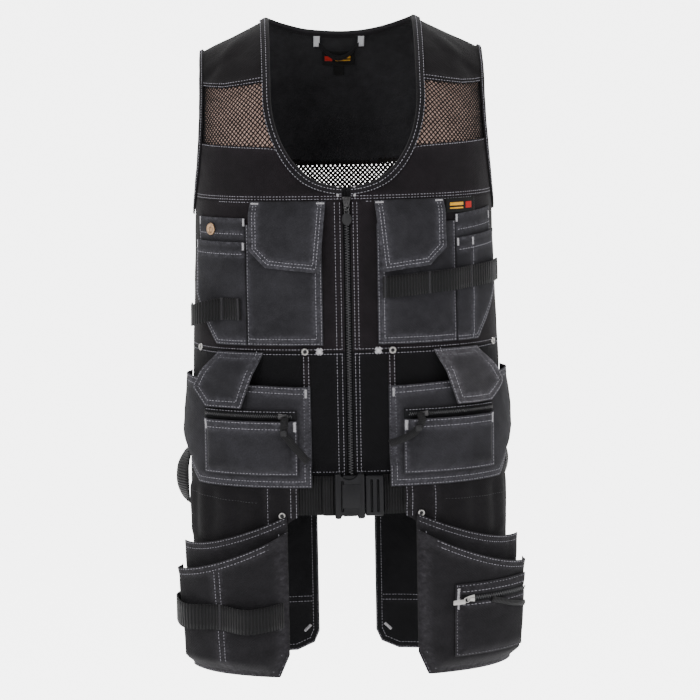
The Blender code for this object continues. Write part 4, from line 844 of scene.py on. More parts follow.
def make_net(name, node, inside, box, backing, back=False, side=1):
    """A net of diagonal strands, cut to its panel, with an optional tan face behind it."""
    (low_s, low_v), (high_s, high_v) = box
    columns = round((high_s - low_s) / NET_PITCH)
    rows = round((high_v - low_v) / NET_PITCH)
    cells = int(math.hypot(columns, rows)) + 2
    bm, a, b = grid(cells, cells)
    a, b = (a - 0.5) * cells * NET_PITCH, (b - 0.5) * cells * NET_PITCH
    turn = math.pi / 4
    s = (low_s + high_s) / 2 + a * math.cos(turn) - b * math.sin(turn)
    v = (low_v + high_v) / 2 + a * math.sin(turn) + b * math.cos(turn)
    place(bm, s, v)
    away = [f for f in bm.faces if not inside(*f.calc_center_median().xy)]
    bmesh.ops.delete(bm, geom=away, context="FACES")
    strand = BACK_NET_STRAND if back else NET_STRAND
    strands = bmesh.ops.inset_individual(bm, faces=bm.faces[:], thickness=strand)
    kept = set(strands["faces"])
    bmesh.ops.delete(bm, geom=[f for f in bm.faces if f not in kept], context="FACES_ONLY")
    if not back:
        bmesh.ops.subdivide_edges(bm, edges=bm.edges[:], cuts=1, use_grid_fill=True, smooth=0.6)
    cloth(node, bm, -NET_SINK, NET, "net", side, back, NET_WALL, name=name)
    if backing:
        cloth(
            None, backing, -NET_SINK - 0.0012, NET_LINING, "net", side, back, 0.0004,
            name=name.replace("_cloth", "_lining"),
        )


def make_front_net(side, tag):
    arm = edge_points(arm_edge, MESH_BOTTOM_OUTER, MESH_TOP_OUTER)
    neck = edge_points(neck_edge, MESH_BOTTOM_INNER, MESH_TOP_INNER)
    low, high = [tuple(neck[0]), tuple(arm[0])], [tuple(neck[-1]), tuple(arm[-1])]

    def inside(s, v):
        t = (s - neck[0][0]) / (arm[0][0] - neck[0][0])
        under = low[0][1] + (low[1][1] - low[0][1]) * t - 0.004
        over = high[0][1] + (high[1][1] - high[0][1]) * t + 0.012
        return neck_edge(v) + 0.001 < s < arm_edge(v) - 0.001 and under < v < over

    backing = patch(offset(low, -0.004), offset(high, 0.004), neck, arm, 0.008)
    box = ((0.085, -0.175), (0.215, -0.045))
    make_net(f"front_mesh_{tag}_cloth", f"front_mesh_{tag}", inside, box, backing, side=side)


def make_front_yoke(side, tag):
    arm = edge_points(arm_edge, YOKE_SEAM, MESH_BOTTOM_OUTER)
    neck = neck_line(MESH_BOTTOM_INNER)
    net = [tuple(neck[-1]), tuple(arm[-1])]
    low = [(ZIP_EDGE, YOKE_SEAM), (float(arm[0][0]), YOKE_SEAM)]
    yoke = patch(low, [*map(tuple, neck), net[1]], [low[0], tuple(neck[0])], arm)
    rows = rows_beside(net, -ROW_NEAR) + rows_beside(low, 0.0015, 0.0050)
    rows.append([(0.0115, NECK_BOTTOM - 0.006), (0.0105, YOKE_SEAM)])
    body_panel(f"front_yoke_{tag}", yoke, BODY, side, rows=rows)


def make_front_panels(side, tag):
    """Chest and waist panels, with the placket rows beside the zip and the hem's rows."""
    chest = sheet(
        ZIP_EDGE, side_edge(False), WAIST_SEAM, lambda s: np.minimum(YOKE_SEAM, arm_height(s))
    )
    placket = (0.0085, 0.0150) if side < 0 else (0.0080, 0.0130)
    below = YOKE_SEAM - 0.002
    rows = upright_rows(below, WAIST_SEAM + 0.001, *placket)
    rows += level_rows(0.0240, FLAP_INNER[tag] - 0.002, below)
    rows += level_rows(FLAP_OUTER[tag] + 0.002, 0.170, below)
    body_panel(f"front_chest_{tag}", chest, BODY, side, rows=rows)
    waist = sheet(ZIP_EDGE, side_edge(False), HEM, WAIST_SEAM)
    rows = upright_rows(WAIST_SEAM - 0.002, HEM + 0.002, *placket)
    heights = (WAIST_SEAM - 0.0035, WAIST_SEAM + 0.0025, HEM_ROW)
    rows += level_rows(placket[0], HEM_ROW_END, *heights)
    tacks = [
        ((0.034, WAIST_SEAM - rise), (0.040, WAIST_SEAM + rise), 0.005)
        for rise in (0.003, -0.003)
    ]
    # The waist panels take the darker cloth of painted shade
    body_panel(f"front_waist_{tag}", waist, WAIST_PAINTED_SHADE, side, rows=rows, tacks=tacks)


def make_back():
    neck_u, tip_u = arc_at_x(NECK_ARC, True), float(arm_edge(RIDGE, True))
    round_neck = -neck_u * np.cos(np.pi * even(40))
    top = [(-tip_u, RIDGE), *zip(round_neck, back_neck(round_neck)), (tip_u, RIDGE)]
    arm = edge_points(lambda v: arm_edge(v, True), BACK_MESH_TOP_SIDE, RIDGE)
    reach = float(arm[0][0])
    seam = [(u, float(back_net_top(u))) for u in np.linspace(-reach, reach, 40)]
    yoke = patch(seam, top, arm * (-1, 1), arm, 0.006)
    rows = rows_beside(seam, ROW_NEAR, ROW_FAR)
    for start, end in ((-tip_u, -neck_u), (neck_u, tip_u)):
        rows += level_rows(start, end, RIDGE - 0.006)
    body_panel("back_yoke", yoke, BODY, back=True, rows=rows)
    foot = float(quarter_arc(BACK_MESH_BOTTOM, True))

    def inside(u, v):
        edge = quarter_arc(v, True) if v < ARM_BOTTOM else arm_edge(v, True) - 0.001
        return abs(u) < edge and BACK_MESH_BOTTOM - 0.004 < v < back_net_top(u) + 0.004

    box = ((-foot, BACK_MESH_BOTTOM - 0.01), (foot, BACK_MESH_TOP_SIDE + 0.01))
    make_net("back_mesh_cloth", "back_mesh", inside, box, None, back=True)
    outer = side_edge(True)
    panel = sheet(lambda v: -outer(v), outer, HEM, BACK_MESH_BOTTOM, 0.006)
    below = BACK_MESH_BOTTOM - 0.008
    rows = level_rows(-foot, foot, BACK_MESH_BOTTOM - 0.002, below)
    rows += level_rows(-0.245, 0.245, HEM_ROW)
    for spot in (-1, 1):
        for top, end in ((0.118, 0.105), (0.124, 0.111)):
            rows += [[(spot * top, below), (spot * end, HEM_ROW)]]
    body_panel("back_body", panel, BODY, back=True, rows=rows)


# Bindings

BINDING_WIDTH = 0.0085


def edge_run(points, back, into):
    """Edge points with the unit direction into the cloth, on the side that into names."""
    points = np.array(points, float)
    run = np.gradient(points, axis=0)
    normal = np.stack([-run[:, 1], run[:, 0]], axis=1)
    normal /= np.linalg.norm(normal, axis=1, keepdims=True)
    turn = np.sign(normal @ np.array(into, float))[:, None]
    normal = normal * np.where(turn == 0, 1, turn)
    return [(*p, *n, back) for p, n in zip(points, normal)]


def even_points(points, step):
    return line_of(points)(even(max(2, round(length_of(points) / step))))


# Columns: reach into the cloth as a share of the binding's width, lift
BINDING_PROFILE = (
    (1.00, -0.0016), (0.92, -0.0026), (0.50, -0.0029), (0.04, -0.0027), (-0.16, -0.0018),
    (-0.24, 0.0007), (-0.16, 0.0034), (0.04, 0.0043), (0.50, 0.0045), (0.92, 0.0041),
    (1.00, 0.0027), (1.00, 0.0022), (0.60, 0.0022), (0.10, 0.0022), (0.02, 0.0007),
    (0.10, -0.0007), (0.60, -0.0007), (1.00, -0.0007),
)


def make_binding(node, runs, closed):
    """Tape folded round an edge, with two rows of stitches through it."""
    if closed:
        runs = [*runs, runs[0]]
    bm, a, b = grid(len(runs) - 1, len(BINDING_PROFILE))
    column = np.rint(a * (len(runs) - 1)).astype(int)
    row = np.rint(b * len(BINDING_PROFILE)).astype(int) % len(BINDING_PROFILE)
    spot = [np.array([run[k] for run in runs]) for k in range(5)]
    into, lift = np.array(BINDING_PROFILE).T
    reach = into[row] * BINDING_WIDTH
    s, v = spot[0][column] + spot[2][column] * reach, spot[1][column] + spot[3][column] * reach
    back = spot[4][column].astype(bool)
    co = worn(s, v, lift[row], back)
    for vert, at in zip(bm.verts, co):
        vert.co = at
    bmesh.ops.remove_doubles(bm, verts=bm.verts, dist=2e-5)
    bmesh.ops.recalc_face_normals(bm, faces=bm.faces)
    layer = bm.loops.layers.uv.new("pattern")
    for face in bm.faces:
        for loop in face.loops:
            loop[layer].uv = (loop.vert.co.x + loop.vert.co.y, loop.vert.co.z)
    mesh_object(f"{node}_cloth", bm, BINDING, [node])
    for share, tag in ((0.22, "edge"), (0.86, "inner")):
        sew_run(f"{node}_{tag}", runs, share * BINDING_WIDTH, 0.0045)


def sew_run(name, runs, reach, lift):
    """Stitches along a run that crosses from the front to the back."""
    for back in (False, True):
        line = [(r[0] + r[2] * reach, r[1] + r[3] * reach) for r in runs if r[4] == back]
        groups, last = [[]], None
        for point in line:
            if last is not None and math.dist(last, point) > 0.03:
                groups.append([])
            groups[-1].append(point)
            last = point
        rows = [group for group in groups if len(group) > 2]
        face = "behind" if back else "front"
        sew(f"{name}_{face}", rows, (), lift, 1, back)


def make_bindings():
    front = [*neck_line(NECK_TURN), (NECK_ARC, NECK_TURN / 2), (NECK_ARC, RIDGE)]
    front = even_points(front, 0.006)
    neck_u = arc_at_x(NECK_ARC, True)
    round_neck = -neck_u * np.cos(np.pi * even(60))
    behind = even_points(list(zip(round_neck, back_neck(round_neck))), 0.006)
    right = edge_run(front, False, (1, -1))
    left = [(-s, v, -a, b, back) for s, v, a, b, back in right]
    middle = edge_run(behind, True, (0, -1))
    make_binding("neck_binding", left + middle[::-1][1:-1] + right[::-1], False)
    for side, tag in SIDES:
        runs = []
        for back in (False, True):
            heights = np.concatenate([
                np.linspace(RIDGE - 0.002, ARM_TURN, 30),
                ARM_TURN + (ARM_BOTTOM - ARM_TURN) * np.sin(np.linspace(0, math.pi / 2, 40))[1:],
            ])
            points = even_points(np.stack([arm_edge(heights, back), heights], axis=-1), 0.006)
            run = edge_run(points, back, (-1, -1))
            turn = -side if back else side
            run = [(turn * s, v, turn * a, b, face) for s, v, a, b, face in run]
            runs += run[::-1][1:] if back else run
        make_binding(f"armhole_binding_{tag}", runs, True)


# Front zip


def spun(bm, edges, steps):
    """Turns edges once round the z axis into a closed surface."""
    bmesh.ops.spin(
        bm, geom=edges, cent=(0, 0, 0), axis=(0, 0, 1), angle=2 * math.pi, steps=steps,
        use_merge=True, use_duplicate=False,
    )
    bmesh.ops.remove_doubles(bm, verts=bm.verts, dist=1e-6)
    bmesh.ops.recalc_face_normals(bm, faces=bm.faces)


def block(size, middle=(0, 0, 0), round_off=0.0, segments=1):
    """A box with rounded edges, about a middle point."""
    bm = bmesh.new()
    bmesh.ops.create_cube(bm, size=1.0)
    bmesh.ops.scale(bm, verts=bm.verts, vec=size)
    bmesh.ops.translate(bm, verts=bm.verts, vec=middle)
    if round_off:
        bmesh.ops.bevel(
            bm, geom=bm.edges[:], offset=round_off, segments=segments, affect="EDGES",
            profile=0.5, material=-1,
        )
    return bm


def join(*shapes):
    """One bmesh that holds several."""
    whole = bmesh.new()
    for shape in shapes:
        mesh = mesh_from("part", shape)
        whole.from_mesh(mesh)
        bpy.data.meshes.remove(mesh)
    return whole


def ring(radius, thick, matrix, squash=1.0):
    """A ring of round wire, stretched along y by squash."""
    bm = bmesh.new()
    bmesh.ops.create_circle(
        bm, segments=8, radius=thick / 2,
        matrix=Matrix.Translation((radius, 0, 0)) @ Matrix.Rotation(math.pi / 2, 4, "X"),
    )
    spun(bm, bm.edges[:], 20)
    bmesh.ops.scale(bm, verts=bm.verts, vec=(1, squash, 1))
    bmesh.ops.transform(bm, matrix=matrix, verts=bm.verts)
    return bm


def turned_shape(profile, segments=24):
    """A shape turned about z from points (radius, height), from the axis round to it again."""
    bm = bmesh.new()
    verts = [bm.verts.new((x, 0, z)) for x, z in profile]
    spun(bm, [bm.edges.new(pair) for pair in zip(verts, verts[1:])], segments)
    return bm


def fixed(name, bm, finish, matrix, nodes=(), smooth=40):
    """A rigid piece, moved to its place."""
    bmesh.ops.transform(bm, matrix=matrix, verts=bm.verts)
    mesh_object(name, bm, finish, nodes, smooth)


TOOTH = mesh_from("tooth", block((0.0036, 0.0017, 0.0016), (0, 0, 0.0006), 0.0004))


def make_teeth(name, route, lift, pitch, scale=1.0, side=1):
    """Two rows of teeth that mesh, along a route of the pattern."""
    count = int(length_of(route) / pitch)
    share = (np.arange(count) + 0.5) / count
    line = line_of(route)
    middle = line(share)
    ahead = line(np.clip(share + 0.002, 0, 1)) - line(np.clip(share - 0.002, 0, 1))
    ahead /= np.linalg.norm(ahead, axis=1, keepdims=True)
    off = np.where(np.arange(count) % 2, 1, -1) * 0.0011 * scale
    s = middle[:, 0] - ahead[:, 1] * off
    v = middle[:, 1] + ahead[:, 0] * off
    here = worn(side * s, v, lift)
    up = worn(side * s, v, lift + 0.001) - here
    up /= np.linalg.norm(up, axis=1, keepdims=True)
    run = worn(side * (s + ahead[:, 0] * 1e-3), v + ahead[:, 1] * 1e-3, lift) - here
    run /= np.linalg.norm(run, axis=1, keepdims=True)
    axes = (np.cross(run, up) * scale, run * scale, up * scale)
    spread(name, TOOTH, here, axes, TEETH)


def slider_body(scale=1.0):
    """A slider: two plates, a bridge over them and the loop that holds the pull."""
    body = block((0.0088, 0.0125, 0.0022), (0, 0, 0.0030), 0.0008, 2)
    for vert in body.verts:
        vert.co.x *= 1.0 + 0.25 * vert.co.y / 0.006
    bridge = block((0.0022, 0.0090, 0.0012), (0, 0.0004, 0.0056), 0.0005, 2)
    posts = [block((0.0022, 0.0016, 0.0022), (0, y, 0.0046), 0.0003) for y in (-0.0035, 0.0042)]
    whole = join(body, bridge, *posts)
    bmesh.ops.scale(whole, verts=whole.verts, vec=(scale, scale, scale))
    return whole


def make_front_zip():
    for side, tag in SIDES:
        tape = sheet(0.0004, 0.014, HEM + CLOTH, NECK_BOTTOM)
        nodes = "front_zip" if side > 0 else None
        cloth(
            nodes, tape, -LAYER_GAP - 0.0008, ZIP_TAPE, "zip_tape", side, wall=0.0008,
            name=f"zip_tape_{tag}_cloth",
        )
    make_teeth("zip_teeth", [(0, HEM + 0.004), (0, ZIP_TOP - 0.012)], 0.0004, 0.00165)
    metal = [
        slider_body(),
        ring(0.0034, 0.0011, Matrix.Translation((0, -0.0062, 0.0058)), 1.35),
        ring(0.0030, 0.0011, Matrix.Translation((0, -0.0125, 0.0054)), 1.0),
    ]
    at = seat(0, ZIP_TOP - 0.0065, 0.0008)
    fixed("zip_slider_metal", join(*metal), NICKEL, at, ["zip_slider"])
    tab = turned_shape([
        (0, 0.0011), (0.0052, 0.0011), (0.0064, 0.0006), (0.0068, 0), (0.0064, -0.0006),
        (0.0052, -0.0011), (0, -0.0011),
    ])
    bmesh.ops.scale(tab, verts=tab.verts, vec=(0.92, 1.18, 1.0))
    bmesh.ops.translate(tab, verts=tab.verts, vec=(0, -0.0215, 0.0052))
    inner = block((0.0060, 0.0080, 0.0028), (0, -0.0220, 0.0052), 0.0006, 2)
    fixed("zip_puller", join(tab, inner), RUBBER, at)
    tacks = upright_tacks((-0.0105, 0.0105), NECK_BOTTOM + 0.002, NECK_BOTTOM - 0.010, 0.0035)
    sew("zip_top", (), tacks, CLOTH + 0.0022, 1, False)


# Chest

# Arcs of the flap's and the pocket's edges, by side
FLAP_INNER = {"left": 0.0260, "right": 0.0345}
FLAP_OUTER = {"left": 0.1215, "right": 0.1235}
POCKET_INNER = {"left": 0.0320, "right": 0.0370}
DIVIDER = {"left": 0.1285, "right": 0.1400}
FLAP_LENGTH = 0.090
FLAP_SLANT = 0.009
FLAP_CHAMFER = 0.021
POCKET_LIFT = 0.0028
POCKET_FOOT = WAIST_SEAM + 0.008
POCKET_MOUTH = YOKE_SEAM - 0.030
TOOL_OUTER = 0.218
TOOL_TOP_BACK = -0.244
TOOL_TOP_FRONT = -0.274
TOOL_CORNER_ARC = 0.046
TOOL_CORNER_RISE = 0.062


def make_chest_flap(side, tag):
    inner, outer = FLAP_INNER[tag], FLAP_OUTER[tag]
    low = YOKE_SEAM - FLAP_LENGTH
    inner_low = inner + FLAP_SLANT
    corner = low + FLAP_SLANT * 0.75
    flap = sheet(inner, outer, low, YOKE_SEAM - 0.001, 0.003)
    outline = [
        (inner, YOKE_SEAM - 0.001), (inner_low, low), (outer - FLAP_CHAMFER, corner),
        (outer, corner + FLAP_CHAMFER), (outer, YOKE_SEAM - 0.001),
    ]
    for start, end in zip(outline, outline[1:4]):
        trim(flap, start, end)
    cover = BODY_TOP + POCKET_LIFT + 2 * POCKET_CLOTH + LAYER_GAP

    def lift(s, v):
        ramp = soft((YOKE_SEAM - v) / 0.02)
        free = soft((YOKE_SEAM - 0.03 - v) / 0.05)
        curl = 0.0022 * free * np.sin(s * 95 + (1.0 if side < 0 else 2.4)) ** 2
        edge = 0.0012 * (1 - soft(distance_to(s, v, outline[1:4]) / 0.004)) * free
        return BODY_TOP + (cover - BODY_TOP) * ramp + curl - edge * 0.4

    rows = rows_beside(outline, 0.0048, 0.0088)
    tacks = [
        ((s, YOKE_SEAM - 0.0035), (s + 0.0090, YOKE_SEAM - 0.0035), 0.0030)
        for s in (inner + 0.002, outer - 0.011)
    ]
    cloth(
        f"chest_flap_{tag}", flap, lift, POCKET, "pocket_cloth", side, seams=[outline],
        rows=rows, tacks=tacks,
    )


def make_chest_pocket(side, tag):
    inner, divider = POCKET_INNER[tag], DIVIDER[tag] - 0.0004
    pocket = sheet(inner, divider, POCKET_FOOT, POCKET_MOUTH, 0.0035)
    outline = [
        (inner, POCKET_MOUTH), (inner, POCKET_FOOT), (divider, POCKET_FOOT), (divider, POCKET_MOUTH),
    ]

    def swell(s, v):
        ripple = 0.5 + 0.5 * np.sin(v * 130 + s * 40 + side)
        return POCKET_LIFT * (0.80 + 0.20 * ripple) + crease(s, v, 21 + side, 0.035, 0.0004)

    rows = rows_beside(outline[:3], ROW_NEAR, ROW_FAR)
    rows += rows_beside(outline[2:], 0.0016)
    lift = puffed(BODY_TOP, swell, [outline], 0.014)
    pocket_panel(f"chest_pocket_{tag}", pocket, lift, side, seams=[outline[:3]], rows=rows)


def make_tool_pockets(side, tag):
    """Two stepped pockets beside the main one, the nearer one lower."""
    start = DIVIDER[tag] + 0.0004
    for name, high, layer in (("pen_pocket", TOOL_TOP_BACK, 0), ("tool_pocket", TOOL_TOP_FRONT, 1)):
        outer = TOOL_OUTER - (1 - layer) * 0.006
        slant = 0.006 if side > 0 else 0.0

        def top(s, high=high, slant=slant):
            return high + slant * (s - 0.14) / 0.08

        tool = sheet(start, outer, POCKET_FOOT, top, 0.0035)
        corner = [(outer - TOOL_CORNER_ARC, POCKET_FOOT), (outer, POCKET_FOOT + TOOL_CORNER_RISE)]
        trim(tool, *corner)
        outline = [(start, high), (start, POCKET_FOOT), *corner, (outer, high)]
        down = 0.0150 if layer else 0.0200
        arcs = (start + 0.003, outer - 0.003)
        rows = [[(s, float(top(edge)) - down) for s, edge in zip(arcs, (start, outer))]]
        spots = [start + 0.002, outer - 0.003]
        if layer:
            rows += rows_beside(outline[1:], ROW_NEAR, 0.0056)
            if side > 0:
                split = start + 0.024
                rows += [[(split, high - 0.004), (split - 0.001, POCKET_FOOT + 0.002)]]
                spots.append(split)
        else:
            rows += upright_rows(high, POCKET_FOOT + 0.07, outer - 0.002)
        tacks = upright_tacks(spots, high - 0.001, high - 0.0095, 0.0032)

        def swell(s, v, rise=layer * POCKET_LIFT):
            return rise * (0.85 + 0.15 * np.sin(v * 120))

        lift = puffed(BODY_TOP + layer * (POCKET_CLOTH + LAYER_GAP), swell, [outline], 0.014)
        mouth = [(start, float(top(start))), (outer, float(top(outer)))]
        pocket_panel(f"{name}_{tag}", tool, lift, side, seams=[mouth], rows=rows, tacks=tacks)


def smooth_route(points, steps=4):
    """A smooth line through points, cut into steps between them, and its running length."""
    points = np.array(points, float)
    knots = np.arange(len(points), dtype=float)
    fine = np.linspace(0, len(points) - 1, (len(points) - 1) * steps + 1)
    line = np.stack([curve_through(fine, knots, points[:, k]) for k in range(3)], axis=1)
    run = np.concatenate([[0], np.cumsum(np.linalg.norm(np.diff(line, axis=0), axis=1))])
    return line, run


def lay_tape(bm, co, flat):
    """Moves a tape's corners to their places, and keeps its flat form as UV."""
    layer = bm.loops.layers.uv.new("pattern")
    flat = dict(zip(bm.verts, flat))
    for face in bm.faces:
        for loop in face.loops:
            loop[layer].uv = flat[loop.vert]
    for vert, at in zip(bm.verts, co):
        vert.co = at


def strap(
    node, path, width, wall, finish, side=1, back=False, level=True, name=None, tacks=(),
    steps=4, twist=0.0,
):
    """A flat strap along points (arc, height, lift), its width up the cloth or across it.

    A twist lifts its further edge in the middle of its run, as shares of the width.
    """
    line, run = smooth_route(path, steps)
    bm, a, b = grid(len(line) - 1, 4)
    column = np.rint(a * (len(line) - 1)).astype(int)
    off = (b - 0.5) * width
    s, v, lift = line[column].T
    lift = lift + off * twist * np.sin(np.pi * a) ** 0.5
    s, v = (s, v + off) if level else (s + off, v)
    co = worn(side * s, v, lift, back)
    lay_tape(bm, co, zip(run[column], off))
    bm.normal_update()
    middle = worn(side * s, v, lift + 0.001, back) - co
    bm.faces.ensure_lookup_table()
    facing = sum(f.normal.dot(Vector(middle[f.verts[0].index])) for f in bm.faces)
    if facing < 0:
        bmesh.ops.reverse_faces(bm, faces=bm.faces)
    obj = mesh_object(name or f"{node}_strap", bm, finish, [node] if node else ())
    thicken(obj, wall, 0.0)

    def surface(at_s, at_v):
        key = line[:, 0] if level else -line[:, 1]
        order = np.argsort(key)
        return np.interp(at_s if level else -at_v, key[order], line[order, 2]) + wall / 2

    sew(f"{name or node}_sewn", (), tacks, surface, side, back, DARK_THREAD)


def curve_through(x, xs, ys):
    """A smooth curve through points, free at both ends."""
    return cubic_through(x, xs, ys, np.gradient(ys, xs))


TOOL_WEB_HEIGHT = 0.027
LEFT_WEB_MIDDLE = -0.358
LEFT_WEB_LOOP_LIFT = 0.017
LEFT_WEB_SAG = 0.012
# Columns: arc, share of the loop's lift
LEFT_WEB_LOOP = (
    (0.134, 0.0),
    (0.142, 0.0),
    (0.156, 0.0),
    (0.165, 0.32),
    (0.175, 0.74),
    (0.187, 0.90),
    (0.199, 0.68),
    (0.211, 0.28),
    (0.221, 0.02),
    (0.229, -0.10),
)
RIGHT_WEB_MIDDLE = -0.319
RIGHT_WEB_SLANT = 0.012
RIGHT_WEB_LOOP_LIFT = 0.004


def bar_tacks(spots, middle, width):
    return [((s, middle(s) + width / 2), (s, middle(s) - width / 2), 0.003) for s in spots]


def make_tool_loops():
    base = BODY_TOP + 2 * POCKET_CLOTH + 2 * LAYER_GAP + POCKET_LIFT + WEBBING / 2
    path = []
    for s, share in LEFT_WEB_LOOP:
        sag = LEFT_WEB_SAG * float(soft((s - LEFT_WEB_LOOP[2][0]) / 0.05))
        path.append((s, LEFT_WEB_MIDDLE - sag, base + share * LEFT_WEB_LOOP_LIFT))
    tacks = bar_tacks((0.137, 0.159), lambda s: LEFT_WEB_MIDDLE, TOOL_WEB_HEIGHT)
    strap("tool_loops_left", path, TOOL_WEB_HEIGHT, WEBBING, WEB, -1, tacks=tacks)
    start, end = 0.043, TOOL_OUTER - 0.002

    def middle(s):
        return RIGHT_WEB_MIDDLE - RIGHT_WEB_SLANT * (1 - (s - start) / (end - start))

    path = []
    for t in even(24):
        hump = math.sin(math.pi * ((t * 3) % 1.0)) ** 2 if t < 1 else 0
        s = start + (end - start) * t
        path.append((s, middle(s), base + hump * RIGHT_WEB_LOOP_LIFT))
    tacks = bar_tacks(
        [start + (end - start) * t for t in (0.015, 1 / 3, 2 / 3, 0.985)], middle, TOOL_WEB_HEIGHT
    )
    strap("tool_loops_right", path, TOOL_WEB_HEIGHT, WEBBING, WEB, 1, tacks=tacks)


def make_button():
    radius, height = 0.00775, 0.0030
    profile = [
        (0, 0.0021), (0.0016, 0.0021), (0.0020, 0.0016), (0.0044, 0.0016), (0.0050, 0.0024),
        (0.0060, height), (0.0070, 0.0028), (radius, 0.0016), (radius * 0.95, 0), (0, 0),
    ]
    at = seat(-0.181, -0.259, BODY_TOP + POCKET_CLOTH + 0.0004)
    fixed("button_cap", turned_shape(profile), BRONZE, at, ["button"], 60)


LABEL_YELLOW = woven_finish("label_yellow", (0.50, 0.25, 0.02), mottle=0.3, seam_wear_and_highlight=0.0)
LABEL_RED = woven_finish("label_red", (0.25, 0.012, 0.010), mottle=0.3, seam_wear_and_highlight=0.0)
# Blocks of a plain woven motif: name, arcs from the label's inner edge, heights from its foot
LABEL_BLOCKS = (
    ("bar", 0.006, 0.026, 0.0085, 0.0125, LABEL_YELLOW),
    ("stripe", 0.006, 0.026, 0.0045, 0.0062, LABEL_YELLOW),
    ("block", 0.030, 0.040, 0.0045, 0.0125, LABEL_RED),
)


def make_front_label():
    """A woven label with a plain motif of two bars and a block."""
    top = YOKE_SEAM - 0.002
    label = sheet(0.127, 0.173, top - 0.018, top, 0.002)
    cloth("front_label", label, BODY_TOP, LABEL, "label_cloth", 1, wall=0.0009)
    make_motif("front", 0.127, top - 0.018, BODY_TOP + 0.0009, False)


def make_motif(label, start, foot, lift, back):
    """The plain motif woven into a label, laid on its shown face."""
    for name, low_s, high_s, low_v, high_v, finish in LABEL_BLOCKS:
        mark = sheet(start + low_s, start + high_s, foot + low_v, foot + high_v, 0.002)
        cloth(
            None, mark, lift, finish, "label_cloth", 1, back, wall=0.0002,
            name=f"{label}_label_{name}_cloth",
        )


def make_rivet(name, at, nodes):
    """A rivet: a bright rolled ring round a dark disc, painted shade in its hollow."""
    rim = [
        (0.0022, 0.0004), (0.0024, 0.0012), (0.0031, 0.0021), (0.0039, 0.0021), (0.0045, 0.0013),
        (0.0047, 0), (0.0022, 0), (0.0022, 0.0004),
    ]
    fixed(f"{name}_cap", turned_shape(rim, 20), STEEL, at, nodes, 60)
    # Painted shade: a dark disc filling the rivet's hollow, where the shade of the hole falls
    hole_shade = [(0, 0.0006), (0.0021, 0.0006), (0.0021, 0), (0, 0)]
    fixed(f"{name}_eye", turned_shape(hole_shade, 20), RUBBER, at, (), 60)


def make_rivets():
    for side, tag in SIDES:
        for arc, spot in ((0.055, "inner"), (0.212, "outer")):
            at = seat(side * arc, WAIST_SEAM, CLOTH + 0.0002)
            make_rivet(f"rivet_{spot}_{tag}", at, [f"rivet_{spot}_{tag}"])
        make_rivet(f"rivet_tail_{tag}", seat(side * 0.087, -0.620, TAIL_LIFT + CLOTH + 0.0002), ())


# Hips

HIP_INNER = 0.049
HIP_OUTER = 0.262
HIP_TOP_INNER = -0.459
HIP_TOP_OUTER = -0.447
HIP_BOTTOM = -0.584
HIP_CORNER_ARC = 0.055
HIP_CORNER_RISE = 0.050
HIP_LIFT = 0.011
HIP_SWELL = 1.1
HIP_MOUTH_SHARE = 0.75
HIP_SIDE = 0.020
HIP_STEP_TOP = -0.545
HIP_STEP_HEIGHT = 0.018
ZIP_BAG_INNER = 0.065
ZIP_BAG_OUTER = 0.184
ZIP_BAG_TOP = -0.498
ZIP_BAG_BOTTOM = -0.567
ZIP_BAG_LIFT = 0.009
ZIP_BAG_SIDE = 0.014
ZIP_STRIP_HEIGHT = 0.013
HIP_FACE = BODY_TOP + HIP_LIFT * HIP_SWELL + POCKET_CLOTH + 0.0004


def hip_top(s):
    return HIP_TOP_INNER + (HIP_TOP_OUTER - HIP_TOP_INNER) * (s / HIP_OUTER)


def make_hip_pocket(side, tag):
    start = HIP_INNER
    pocket = sheet(start, HIP_OUTER, HIP_BOTTOM, hip_top, 0.004)
    corner = [(HIP_OUTER - HIP_CORNER_ARC, HIP_BOTTOM), (HIP_OUTER, HIP_BOTTOM + HIP_CORNER_RISE)]
    trim(pocket, *corner)
    mouth = [(start, hip_top(start)), (HIP_OUTER, hip_top(HIP_OUTER))]
    outline = [mouth[0], (start, HIP_BOTTOM), *corner, mouth[1]]
    over_tail = TAIL_LIFT + CLOTH + LAYER_GAP - BODY_TOP

    def step(s, v):
        return BODY_TOP + over_tail * soft((HIP_STEP_TOP - v) / HIP_STEP_HEIGHT)

    def rise(s, v):
        share = np.clip((v - HIP_BOTTOM) / (HIP_TOP_INNER - HIP_BOTTOM), 0, 1)
        swell = HIP_MOUTH_SHARE + (HIP_SWELL - HIP_MOUTH_SHARE) * np.sin(np.pi * share)
        ruck = np.abs(crease(s, v, 31 + side, 0.04, 0.0007))
        return HIP_LIFT * swell - (step(s, v) - BODY_TOP) - ruck

    rows = rows_beside(outline, ROW_NEAR, ROW_FAR)
    rows += [
        [(start + 0.004, mouth[0][1] - down), (HIP_OUTER - 0.004, mouth[1][1] - down)]
        for down in (0.002, 0.0085)
    ]
    tacks = upright_tacks([start + 0.006], HIP_TOP_INNER - 0.001, HIP_TOP_INNER - 0.011, 0.005)
    lift = puffed(step, rise, [outline], HIP_SIDE)
    pocket_panel(f"lower_pocket_{tag}", pocket, lift, side, rows=rows, tacks=tacks)
    band = sheet(start, start + 0.0095, WAIST_SEAM - 0.004, mouth[0][1] - 0.0005, 0.003)
    rows = upright_rows(WAIST_SEAM - 0.005, mouth[0][1] - 0.001, start + 0.0018, start + 0.0077)
    cloth(
        None, band, BODY_TOP, BODY, "pocket_cloth", side, rows=rows,
        name=f"pocket_band_{tag}_cloth",
    )


